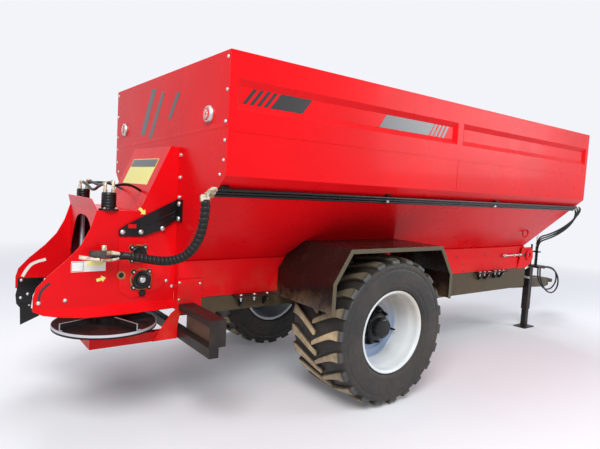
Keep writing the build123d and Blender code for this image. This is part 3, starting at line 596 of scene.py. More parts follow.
def hoop(centre, first, second, wide, tall, thick, steps, sides):
    """A round bar bent to an ellipse: its middle goes wide times the cosine of the turn along the first
    direction and tall times its sine along the second."""
    turn = (np.arange(steps) * TAU / steps)[:, None, None]
    angle = (np.arange(sides) * TAU / sides)[None, :, None]
    out = np.cos(turn) * first + np.sin(turn) * second
    middle = centre + wide * np.cos(turn) * first + tall * np.sin(turn) * second
    section = np.cos(angle) * out + np.sin(angle) * np.cross(first, second)
    return grid(middle + thick * section, wrap_rows=True, wrap_columns=True)


def second_degree(a, b, c, count):
    """Points from a to c on the curve of second degree that b steers."""
    t = np.linspace(0, 1, count)[:, None]
    return (1 - t) ** 2 * a + 2 * t * (1 - t) * b + t ** 2 * c


def distances(line):
    """How far along a line each of its points is."""
    return np.concatenate([[0], np.cumsum(np.linalg.norm(np.diff(line, axis=0), axis=1))])


def smooth_path(points, count=60):
    """Evenly spaced points on the curve of second degree that the given points steer: it runs from the middle of
    one steering line to the middle of the next."""
    points = np.asarray(points, float)
    if len(points) == 3:
        return second_degree(*points, count)
    middles = (points[1:-2] + points[2:-1]) / 2
    knots = np.vstack([points[:1], middles, points[-1:]])
    line = np.vstack([second_degree(*three, 24) for three in zip(knots[:-1], points[1:-1], knots[1:])])
    line = line[np.concatenate([[True], np.linalg.norm(np.diff(line, axis=0), axis=1) > 1e-7])]
    far = distances(line)
    at = np.linspace(0, far[-1], count)
    return np.stack([np.interp(at, far, line[:, k]) for k in range(3)], axis=1)


def soften(thing, width):
    """Rounds the sharp edges of a piece with a live bevel."""
    edge = thing.modifiers.new("edges", "BEVEL")
    edge.width = width
    edge.segments = 2
    edge.limit_method = "ANGLE"
    edge.angle_limit = math.radians(30)
    edge.harden_normals = True


def piece(name, parts, material, body="chassis", bevel=0.0, smooth=32.0, replaces=()):
    """Joins the parts into one mesh whose faces point outwards, and gives it its finish and its body."""
    verts, faces, count = [], [], 0
    for points, quads in parts:
        verts.append(points)
        faces.extend([[index + count for index in face] for face in quads])
        count += len(points)
    places = np.vstack(verts) + np.array([REAR_WALL, 0.0, 0.0])
    mesh = bpy.data.meshes.new(name)
    mesh.from_pydata(places.tolist(), [], faces)
    work = bmesh.new()
    work.from_mesh(mesh)
    bmesh.ops.remove_doubles(work, verts=work.verts, dist=1e-6)
    bmesh.ops.recalc_face_normals(work, faces=work.faces)
    work.to_mesh(mesh)
    work.free()
    mesh.shade_smooth()
    mesh.set_sharp_from_angle(angle=math.radians(smooth))
    mesh.materials.append(material)
    thing = bpy.data.objects.new(name, mesh)
    bpy.context.scene.collection.objects.link(thing)
    if bevel:
        soften(thing, bevel)
    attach(thing, body)
    if replaces:
        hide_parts(*replaces)
    return thing


def coat(material, *names, bevel=0.0):
    """Gives CAD nodes their finish, and softens their edges where bevel is set."""
    for name in names:
        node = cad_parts[name]
        node.data.materials.clear()
        node.data.materials.append(material)
        if bevel:
            node.modifiers.new("weld", "WELD").merge_threshold = 0.00005
            soften(node, bevel)


# -------------------------------------------------------------- properties

class SpreaderPaint(bpy.types.PropertyGroup):
    body: bpy.props.FloatVectorProperty(
        name="Body colour", description="Paint of the hopper and the spinner housing",
        subtype="COLOR", size=3, min=0, max=1, default=linear(226, 14, 22))
    body_rough: bpy.props.FloatProperty(
        name="Body roughness", description="How matt the body paint is", min=0, max=1, default=0.26)
    chassis: bpy.props.FloatVectorProperty(
        name="Chassis colour", description="Paint of the chassis, the drawbar and the fenders",
        subtype="COLOR", size=3, min=0, max=1, default=linear(34, 28, 28))


class SpreaderSizes(bpy.types.PropertyGroup):
    lug_count: bpy.props.IntProperty(
        name="Lugs a side", description="Tread bars on each half of a tyre", min=8, max=40, default=22)
    lug_height: bpy.props.FloatProperty(
        name="Lug height", description="How far a tread bar stands proud", subtype="DISTANCE",
        unit="LENGTH", min=0.01, max=0.06, default=0.034)
    tyre_radius: bpy.props.FloatProperty(
        name="Tyre radius", description="Outer radius over the tread bars", subtype="DISTANCE",
        unit="LENGTH", min=0.3, max=0.9, default=0.545)
    bolt: bpy.props.FloatProperty(
        name="Bolt head", description="Half the width of a common bolt head", subtype="DISTANCE",
        unit="LENGTH", min=0.004, max=0.03, default=0.011)


class SpreaderStage(bpy.types.PropertyGroup):
    world: bpy.props.FloatProperty(
        name="Sky light", description="Strength of the even light from all sides", min=0, max=4, default=0.33)
    key: bpy.props.FloatProperty(
        name="Main lamp", description="Power of the large lamp above and behind the camera",
        unit="POWER", min=0, max=5000, default=600.0)
    floor: bpy.props.FloatVectorProperty(
        name="Floor colour", description="Colour of the plain floor", subtype="COLOR", size=3,
        min=0, max=1, default=linear(240, 242, 247))
    floor_glow: bpy.props.FloatProperty(
        name="Floor glow", description="Share of the background's own light in the floor", min=0, max=1,
        default=0.10)


# --------------------------------------------------------------- operators

class SPREADER_OT_camera(bpy.types.Operator):
    """Puts the camera at the photograph's viewing angle."""

    bl_idname = "spreader.camera"
    bl_label = "Camera"

    def execute(self, context):
        # Fitted to the photograph: its width and focal length in pixels, and the camera's place and turns.
        width_px, focal_px, sensor = 600.0, 496.32, 36.0
        spot = (-1.307 + REAR_WALL, -3.435, 1.546)
        yaw, pitch, roll = (math.radians(a) for a in (36.915, -4.213, 3.301))
        ahead = Vector((math.sin(yaw) * math.cos(pitch), math.cos(yaw) * math.cos(pitch), math.sin(pitch)))
        right = Vector((math.cos(yaw), -math.sin(yaw), 0))
        up = right.cross(ahead)
        turned_right = math.cos(roll) * right + math.sin(roll) * up
        turned_up = -math.sin(roll) * right + math.cos(roll) * up
        lens = bpy.data.cameras.new("camera")
        lens.sensor_fit = "HORIZONTAL"
        lens.sensor_width = sensor
        lens.lens = focal_px / width_px * sensor
        lens.clip_end = 200.0
        view = bpy.data.objects.new("camera", lens)
        turn = Matrix((turned_right, turned_up, -ahead)).transposed().to_4x4()
        view.matrix_world = Matrix.Translation(spot) @ turn
        context.scene.collection.objects.link(view)
        context.scene.camera = view
        return {"FINISHED"}


# The rear hose: places down its fall, with y from the middle pipe's, and its two last places at the valve.
REAR_FALL = [
    (-0.084, 0.0, 1.452), (-0.084, 0.0, 1.386), (-0.088, 0.013, 1.302), (-0.096, 0.044, 1.224),
    (-0.111, 0.094, 1.158), (-0.134, 0.160, 1.108), (-0.167, 0.238, 1.078), (-0.208, 0.318, 1.066),
    (-0.252, 0.392, 1.067), (-0.300, 0.458, 1.072),
]
VALVE_Y = -0.424
REAR_END = [(-0.374, VALVE_Y, 1.080), (-0.438, VALVE_Y, 1.080)]


def spline(name, points, radius):
    """A rubber hose: a curve of second degree steered by the route's points, with a round section."""
    curve = bpy.data.curves.new(name, "CURVE")
    curve.dimensions = "3D"
    curve.bevel_depth = radius
    curve.bevel_resolution = 5
    curve.use_fill_caps = True
    line = curve.splines.new("NURBS")
    line.points.add(len(points) - 1)
    for spot, place in zip(line.points, points):
        spot.co = (place[0] + REAR_WALL, place[1], place[2], 1.0)
    line.order_u = 3
    line.use_endpoint_u = True
    line.resolution_u = 8
    curve.materials.append(hose_rubber())
    thing = bpy.data.objects.new(name, curve)
    bpy.context.scene.collection.objects.link(thing)
    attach(thing, "chassis")
    return thing


def length_of(points):
    """The length of the curve that the points steer."""
    return float(distances(smooth_path(points, 400))[-1])


def front_route(i):
    """The route of one supply hose, from the pipes down to the holder on the drawbar, each a step k beside
    the middle one."""
    k = i - 1
    y, z = FRONT_Y[i], FRONT_Z[i]
    start = 4.264
    down_x = POST_X + 0.026 - 0.01872 * k
    down_y = POST_Y - 0.052 - 0.01872 * k
    return [
        (start, y, z), (start + 0.040 - 0.004 * k, y, z),
        (start + 0.092 - 0.010 * k, y + 0.012, z - 0.040 - 0.004 * k),
        (start + 0.152 - 0.006 * k, -0.862 + 0.010 * k, 1.376 - 0.024 * k),
        (start + 0.226, -0.768 + 0.008 * k, 1.296 - 0.025 * k),
        (start + 0.314, -0.650 + 0.006 * k, 1.224 - 0.026 * k),
        (start + 0.412, -0.520 + 0.002 * k, 1.164 - 0.026 * k),
        (start + 0.514, -0.396 - 0.002 * k, 1.120 - 0.025 * k),
        (down_x - 0.066, down_y - 0.086, 1.090 - 0.024 * k),
        (down_x - 0.014, down_y - 0.026, 1.050 - 0.018 * k), (down_x, down_y, 0.968 - 0.006 * k),
        (down_x + 0.002, down_y - 0.002, 0.876), (down_x + 0.002, down_y - 0.002, 0.736),
    ]


def loop_route(i):
    """The route of one parked hose, forward out of the holder and back under it, drawn out by a factor."""
    y = POST_Y - 0.078 - 0.030 * i
    x = POST_X + 0.110
    z = 0.722
    far = 1.22
    return [
        (x, y, z - 0.012),
        (x + 0.078, y, z - 0.012),
        (x + 0.172 * far, y - 0.006, z - 0.018 - 0.014 * i),
        (x + 0.262 * far, y - 0.008, z - 0.046 - 0.030 * i),
        (x + 0.336 * far, y - 0.004, z - 0.102 - 0.046 * i),
        (x + 0.372 * far, y + 0.002, z - 0.180 - 0.054 * i),
        (x + 0.356 * far, y + 0.004, z - 0.256 - 0.056 * i),
        (x + 0.288 * far, y + 0.002, z - 0.310 - 0.052 * i),
        (x + 0.196 * far, y - 0.004, z - 0.324 - 0.038 * i),
        (x + 0.104 * far, y - 0.008, z - 0.302 - 0.022 * i),
        (x + 0.028 * far, y - 0.008, z - 0.248 - 0.010 * i),
        (x - 0.028, y - 0.004, z - 0.176),
        (x - 0.056 - 0.004 * i, y, z - 0.100),
        (x - 0.056 - 0.004 * i, y, z - 0.014),
    ]


class SPREADER_OT_hoses(bpy.types.Operator):
    """Lays the free hoses along their routes."""

    bl_idname = "spreader.hoses"
    bl_label = "Hoses"

    def execute(self, context):
        route = [(x, FRONT_Y[1] + y, z) for x, y, z in REAR_FALL] + REAR_END
        main = spline("rear_hose", route, 0.0225)
        wrap = self.wrap(route)
        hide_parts("hose_rear")
        route[0][0] + REAR_WALL
        length_of(route)
        routes = [("supply_hose", "hose_front", i, front_route(i)) for i in range(3)]
        routes += [("parked_hose", "hose_loop", i, loop_route(i)) for i in range(2)]
        for name, node, i, points in routes:
            hose = spline(f"{name}_{i + 1}", points, 0.0095)
            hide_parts(f"{node}_{i + 1}")
            points[0][0] + REAR_WALL
            length_of(points)
        return {"FINISHED"}

    def wrap(self, route):
        """A flat band wound round the hose: its centre goes round once in each pitch."""
        pitch, bare_top, bare_foot = 0.031, 0.015, 0.128
        line = smooth_path(route, 900)
        run, side, other = carried(line)
        far = distances(line)
        keep = (far > bare_top) & (far < far[-1] - bare_foot)
        angle = (far * TAU / pitch)[keep][:, None]
        centre, way = line[keep], run[keep]
        out = np.cos(angle) * side[keep] + np.sin(angle) * other[keep]
        section = [(-0.0125, 0.0205), (-0.0120, 0.0235), (-0.0085, 0.0262), (-0.0030, 0.0274),
                   (0.0030, 0.0274), (0.0085, 0.0262), (0.0120, 0.0235), (0.0125, 0.0205)]
        rows = np.stack([centre + along * way + lift * out for along, lift in section], axis=1)
        return piece("rear_hose_wrap", [grid(rows, wrap_columns=True, caps=True)], hose_rubber(),
                     smooth=50)


class SPREADER_OT_stage(bpy.types.Operator):
    """Makes the floor, the background and the lamps."""

    bl_idname = "spreader.stage"
    bl_label = "Stage"

    def execute(self, context):
        looks = context.scene.spreader_stage
        n = Nodes(bpy.data.worlds.new("world"))
        sky = n.add("ShaderNodeBackground", {}, {"Color": (0.86, 0.91, 1.0), "Strength": looks.world})
        pale = n.add("ShaderNodeBackground", {}, {"Color": linear(*PALE), "Strength": 1.0})
        n.blend(n.seen(), sky, pale, "World Output")
        context.scene.world = n.owner
        reach, thick, gap = 60.0, 0.02, 0.0004
        points, faces = block(-reach, reach, -reach, reach, -thick - gap, -gap)
        mesh = bpy.data.meshes.new("floor")
        mesh.from_pydata(points.tolist(), [], faces)
        mesh.materials.append(self.ground(looks))
        floor = bpy.data.objects.new("floor", mesh)
        context.scene.collection.objects.link(floor)
        self.lamp(context, "key", (-5.5, -5.0, 6.5), 4.0, looks.key, (1.0, 0.985, 0.96))
        self.lamp(context, "fill", (6.5, -6.0, 4.0), 4.0, looks.key * 0.5, (0.95, 0.97, 1.0))
        self.lamp(context, "top", (0.0, 2.0, 8.0), 5.0, looks.key * 0.6, (1.0, 1.0, 1.0))
        context.scene.view_settings.view_transform = "Standard"
        return {"FINISHED"}

    def ground(self, looks):
        """The floor: lit where the machine stands, with some of its own light for the camera, and
        fading into the background colour further out, so that no edge shows."""
        n = Nodes(bpy.data.materials.new("floor"))
        x, y, z = n.parts()
        far = diagonal(x, y).ramp(4.0, 9.5)
        share = n.seen() * (far + (1.0 - far) * looks.floor_glow)
        glow = n.add("ShaderNodeEmission", {}, {"Color": linear(*PALE), "Strength": 1.0})
        n.finish(Base_Color=tuple(looks.floor), Roughness=0.8, Specular_IOR_Level=0.1)
        lit = Wire(n, n.tree.nodes["Principled BSDF"].outputs[0])
        n.blend(share, lit, glow, "Material Output")
        return n.owner

    def lamp(self, context, name, place, size, power, colour):
        """A square lamp that looks at the machine's middle."""
        data = bpy.data.lights.new(name, "AREA")
        data.shape = "SQUARE"
        data.size = size
        data.energy = power
        data.color = colour
        thing = bpy.data.objects.new(name, data)
        thing.location = place
        aim = Vector((-0.6, 0.0, 1.0)) - Vector(place)
        thing.rotation_euler = aim.to_track_quat("-Z", "Y").to_euler()
        context.scene.collection.objects.link(thing)


class SPREADER_OT_finishes(bpy.types.Operator):
    """Paints the pieces of the frame that stay as they are."""

    bl_idname = "spreader.finishes"
    bl_label = "Finishes"

    def execute(self, context):
        coat(red_paint(), "hopper_side_right", "hopper_side_left", "hopper_rear_wall", "hopper_front_wall",
             "apron", "hopper_brace")
        coat(housing_paint(), "housing_side_right", "housing_side_left", "housing_top")
        coat(red_dusty(), "channel_right", "channel_left", "guard_frame", "foot_plates",
             "front_bearing_plates", "rear_bearing_plates", bevel=0.0015)
        coat(chassis_paint(), "rail_right", "rail_left", "cross_members", "drawbar", bevel=0.0015)
        coat(fender_paint(), "fender_right", "fender_left", bevel=0.001)
        coat(black_paint(), "axle", "light_bar", "jack_tube", "jack_bracket", "jack_leg", "floor_sheet",
             "hose_post", "hanger_feet", bevel=0.0015)
        coat(dusty_plate(), "bar_panels")
        coat(gloss_black(), "bracket_arm", "pipe_clamps", "hose_clamp", "pipes")
        coat(dark_steel(), "conveyor", "conveyor_front_shaft", "conveyor_rear_shaft")
        coat(disc_steel(), "disc_right", "disc_left")
        return {"FINISHED"}


class SPREADER_OT_tyres(bpy.types.Operator):
    """Makes both tyres: a turned carcass with a tread bar for each lug."""

    bl_idname = "spreader.tyres"
    bl_label = "Tyres"

    def execute(self, context):
        sizes = context.scene.spreader_sizes
        for side, body in ((-1, "wheel_right"), (1, "wheel_left")):
            parts = [self.carcass(side, sizes)] + self.lugs(side, sizes)
            suffix = body.split("_")[1]
            piece(f"tyre_tread_{suffix}", parts, tyre_rubber(), body=body,
                  smooth=38, replaces=[f"tyre_{suffix}"])
        return {"FINISHED"}

    def centre(self, side):
        """The middle of a tyre."""
        return np.array([WHEEL_X, side * (TYRE_FACE - TYRE_HALF), WHEEL_Z])

    def carcass(self, side, sizes):
        """The section is a list of (half width, radius), mirrored, turned about the axle."""
        base = sizes.tyre_radius - sizes.lug_height
        outer = [
            (0.2420, 0.2865), (0.2470, 0.3020), (0.2500, 0.3080), (0.2540, 0.3105), (0.2600, 0.3130),
            (0.2640, 0.3180), (0.2645, 0.3300), (0.2655, 0.3312), (0.2680, 0.3330), (0.2700, 0.3480),
            (0.2712, 0.3600), (0.2730, 0.3615), (0.2742, 0.3700), (0.2748, 0.4000), (0.2750, 0.4300),
            (0.2748, 0.4480), (0.2742, 0.4560), (0.2728, 0.4580), (0.2722, 0.4620), (0.2728, 0.4660),
            (0.2740, 0.4690), (0.2738, 0.4820), (0.2728, 0.4930), (0.2700, 0.5000), (0.2640, 0.5045),
            (0.2520, 0.5070), (0.2200, 0.5090), (0.1500, base - 0.001), (0.0800, base), (0.0, base),
        ]
        section = outer + [(-w, r) for w, r in outer[-2::-1]]
        profile = [(r, w) for w, r in section]
        inner = [(0.285, -0.19), (0.285, 0.19)]
        return turned(profile + inner, self.centre(side), (0, 1, 0), 132, closed=True)

    def lugs(self, side, sizes):
        """A lug is a bar along a centreline (turn, half width, height), straight-sided with a drafted
        foot; the bar leans back as it nears the shoulder and folds down over it."""
        top = sizes.tyre_radius
        base = top - sizes.lug_height - 0.012
        stations = [
            (-0.004, -0.016, 0.0100, -0.002, 0.0), (0.000, -0.008, 0.0170, 0.0, 0.0),
            (0.026, 0.036, 0.0190, 0.0, 0.0), (0.052, 0.084, 0.0200, 0.0, 0.0),
            (0.078, 0.132, 0.0215, -0.001, 0.0), (0.100, 0.178, 0.0250, -0.002, 0.0),
            (0.112, 0.212, 0.0320, -0.004, 0.0), (0.117, 0.238, 0.0370, -0.007, -0.002),
            (0.118, 0.2560, 0.0380, -0.011, -0.006), (0.118, 0.2665, 0.0380, -0.017, -0.016),
            (0.118, 0.2735, 0.0375, -0.030, -0.030), (0.118, 0.2742, 0.0360, -0.046, -0.046),
        ]
        run, out, wide, drop, foot = np.array(stations).T[:, :, None]
        ground = base + foot - 0.010 * np.maximum(0.0, (out - 0.23) / 0.045)
        radius = np.hstack([ground, top + drop, top + drop, ground])
        foot_out = np.where(out < 0.262, out, 0.256)
        across = np.hstack([foot_out, out, out, foot_out])
        turn = (run + np.array([-1.25, -0.92, 0.92, 1.25]) * wide) / top
        bars = []
        for i in range(sizes.lug_count):
            for half, lead in ((-1, 0.0), (1, 0.5)):
                angle = turn + TAU * (i + lead) / sizes.lug_count
                rows = np.stack([radius * np.sin(angle), half * across, radius * np.cos(angle)], axis=2)
                bars.append(grid(self.centre(side) + rows, wrap_columns=True, caps=True))
        return bars


def flat_on_side(outline, y, away, thick=0.0012):
    """A flat shape drawn in x and z, laid on a face at y."""
    start, end = sorted((y, y + away * thick))
    return prism(outline, 1, start, end)


def ribbon(points, wide, y, away, thick=0.0012):
    """A band of even width on a face at y. Its edges lie half the width to each side of a line drawn in x
    and z, along the line's own direction turned by a quarter."""
    line = smooth_path([(x, 0.0, z) for x, z in points], 18)
    run = np.gradient(line, axis=0)
    run /= np.linalg.norm(run, axis=1)[:, None]
    side = np.stack([-run[:, 2], np.zeros(len(run)), run[:, 0]], axis=1) * wide / 2
    rows = np.stack([line - side, line + side, line + side, line - side], axis=1)
    rows[:, :2, 1] = y
    rows[:, 2:, 1] = y + away * thick
    return grid(rows, wrap_columns=True, caps=True)


class SPREADER_OT_housing(bpy.types.Operator):
    """Makes the spinner housing's cover, deflectors, bearings, slots, bolts and arrows."""

    bl_idname = "spreader.housing"
    bl_label = "Spinner housing"

    def execute(self, context):
        self.cover()
        self.deflectors()
        self.bearings()
        self.bolts()
        # The near slot is black film: painted shade in the opening.
        near = ribbon([(-0.751, 0.921), (-0.786, 0.893), (-0.805, 0.860), (-0.808, 0.817)], 0.014,
                      -SIDE_Y, -1)
        piece("slot_right", [near], decal_black())
        # The far slot is a pale band: the lit ground behind it, painted.
        far = ribbon([(-0.655, 0.951), (-0.715, 0.938), (-0.765, 0.905), (-0.797, 0.838)], 0.020,
                     SIDE_Y - 0.005, -1)
        piece("slot_left", [far], slot_light())
        shape = [(-0.028, 0.009), (0.004, 0.009), (0.004, 0.021), (0.028, 0.0), (0.004, -0.021),
                 (0.004, -0.009), (-0.028, -0.009)]
        arrows = []
        for x, z, turn in ((-0.470, 0.927, 0.25), (-0.232, 1.343, -0.75)):
            c, d = math.cos(turn), math.sin(turn)
            outline = [(x + u * c - v * d, z + u * d + v * c) for u, v in shape]
            arrows.append(flat_on_side(outline, -SIDE_Y, -1, SKIN))
        piece("arrows_right", arrows, sign_yellow())
        return {"FINISHED"}

    def cover(self):
        """A plate across the housing with an arched opening: a band between two outlines in y and z. A narrow
        plate stands at each rear corner of the hopper's foot."""
        back, front, wall, top = -0.503, -0.499, 0.3445, 1.338
        half = [(0.318, 1.030), (0.314, 1.062), (0.283, 1.112), (0.241, 1.172), (0.205, 1.225),
                (0.172, 1.258), (0.125, 1.281), (0.070, 1.292), (0.0, 1.295)]
        edge = [(wall, z) for z in (1.022, 1.080, 1.140, 1.200, 1.260, top)]
        edge += [(0.200, top), (0.100, top), (0.0, top)]
        inner, outer = (line + [(-y, z) for y, z in line[-2::-1]] for line in (half, edge))
        rows = [[(x, y, z) for y, z in line]
                for x, line in ((back, outer), (back, inner), (front, inner), (front, outer))]
        arch = np.array(rows).transpose(1, 0, 2)
        piece("rear_cover", [grid(arch, wrap_columns=True, caps=True)], housing_paint())
        parts = [block(-0.0050, -0.0005, *sorted((side * SIDE_Y, side * 0.4120)), 0.700, FOOT_Z)
                 for side in (-1, 1)]
        piece("rear_corner_plates", parts, red_dusty(), bevel=0.0008)

    def deflectors(self):
        """The left skirt and flap hang below the nose; the right ones are raised behind the side plate."""
        plate = [(-0.825, 0.828), (-0.645, 0.824), (-0.636, 0.762), (-0.826, 0.764)]
        skirt = [(-0.826, 0.772), (-0.700, 0.772), (-0.733, 0.705), (-0.740, 0.640), (-0.772, 0.612),
                 (-0.806, 0.620), (-0.832, 0.655), (-0.838, 0.715)]
        flap = [(-0.812, 0.655), (-0.743, 0.655), (-0.743, 0.616), (-0.692, 0.598), (-0.692, 0.560),
                (-0.808, 0.508)]

        def lifted(outline):
            """The outline moved forward and up, as the links hold it."""
            return [(x + 0.105, z + 0.200) for x, z in outline]

        black, rubber = [], []
        for side, move in ((1, list), (-1, lifted)):
            inner = side * (SIDE_Y - 0.0052)
            black.append(flat_on_side(plate, inner, -side, 0.0045))
            black.append(flat_on_side(move(skirt), inner - side * 0.0045, -side, 0.003))
            rubber.append(flat_on_side(move(flap), inner - side * 0.0078, -side, 0.0058))
        piece("deflector_plates", black, gloss_black(), bevel=0.0008, replaces=["deflectors"])
        piece("deflector_rubbers", rubber, hose_rubber(), bevel=0.0008,
              replaces=["deflector_flaps"])

    def bearings(self):
        """Flange bearings with four ears on a tan gasket, and the end of the shaft."""
        gaskets, castings, steel = [], [], []
        shares = [(1, 0.0), (1, 0.019), (0.96, 0.0245), (0.84, 0.0275), (0.76, 0.0250), (0.64, 0.0250),
                  (0.58, 0.0320), (0.40, 0.0330), (0.37, 0.0255)]
        for side in (-1, 1):
            face, out = side * RAISED_Y, (0, side, 0)
            for x, z, r in ((-0.229, 0.912, 0.060), (-0.252, 1.076, 0.050)):
                spot = (x, face, z)
                gaskets.append(turned([(r * 1.16, 0.0), (r * 1.16, 0.0014), (r * 0.4, 0.0016)], spot, out, 40))
                profile = [(r * share, tall) for share, tall in shares] + [(0.001, 0.0255)]
                castings.append(turned(profile, spot, out, 40))
                for a in around(4, math.pi / 4):
                    ear = (x + r * 1.17 * math.cos(a), face, z + r * 1.17 * math.sin(a))
                    castings.append(stud(0.015, 0.009, 0.012, 0.011, ear, out, 16))
                    gaskets.append(turned([(0.018, 0.0), (0.018, 0.0012), (0.001, 0.0012)], ear, out, 16))
                    head = (ear[0], face + side * 0.011, ear[2])
                    steel += bolt(head, out, 0.0075, 0.006, washer=False)
            shaft = [(0.018, 0.0250), (0.018, 0.0370), (0.015, 0.0390), (0.001, 0.0390)]
            steel.append(turned(shaft, (-0.229, face, 0.912), out, 24))
        piece("bearing_gaskets", gaskets, gasket_tan())
        piece("bearing_castings", castings, gloss_black())
        piece("bearing_bolts", steel, bright_steel())
        right, port = (0, -1, 0), (-0.353, -SIDE_Y, 0.944)
        ringed = turned([(0.026, 0.0), (0.026, 0.0075), (0.001, 0.0075)], port, right, 28)
        piece("small_port_ring", [ringed], gasket_tan())
        ports = [turned([(0.016, 0.0070), (0.016, 0.0084), (0.001, 0.0084)], port, right, 24),
                 stud(0.022, 0.008, 0.018, 0.012, (-0.219, -RAISED_Y, 0.822), right, 24)]
        piece("small_ports", ports, gloss_black())

    def bolts(self):
        """Rounded heads on the housing, the arm and the bolted plates, and the arm's slot and rib."""
        right, back = (0, -1, 0), (-1, 0, 0)
        rows = [
            (-ARM_Y, 0.017, ((-0.354, 1.213), (-0.241, 1.213), (-0.102, 1.235))),
            (-SIDE_Y, 0.013, ((-0.059, 0.889), (-0.019, 0.850), (-0.669, 0.812), (-0.808, 0.809))),
            (SIDE_Y - 0.0130, 0.011, ((-0.803, 0.815), (-0.658, 0.810), (-0.764, 0.717), (-0.806, 0.694),
                                      (-0.755, 0.640))),
        ]
        big, small = [], []
        for y, size, spots in rows:
            big += domes([(x, y, z) for x, z in spots], right, size)
        for z in (1.398, 1.302):
            big += domes([(-0.014, -0.402, z), (REAR_FACE, 0.402, z)], back, 0.018)
        for side in (-1, 1):
            spots = ((0.004, 0.885), (0.150, 0.872), (0.004, 0.772), (0.138, 0.700))
            small += domes([(x, side * PLATE_Y, z) for x, z in spots], (0, side, 0), 0.009)
        piece("housing_bolts", big, bright_steel())
        piece("foot_plate_bolts", small, bright_steel())
        slot = ribbon([(-0.322, 1.250), (-0.297, 1.250), (-0.272, 1.250)], 0.024, -ARM_Y, -1, 0.0008)
        piece("arm_slot", [slot], red_paint())
        line = [(-0.205, -0.3650, 1.262), (-0.10, -0.3650, 1.303), (-0.020, -0.3650, 1.345)]
        piece("arm_rib", [tube(smooth_path(line, 12), 0.0055, 10)], gloss_black())
        # The slot in the foot plate is black film: painted shade in the opening.
        hole = [(0.060, 0.700), (0.100, 0.700), (0.100, 0.742), (0.060, 0.742)]
        piece("foot_plate_slot", [flat_on_side(hole, -0.420, -1, 0.0008)], decal_black())


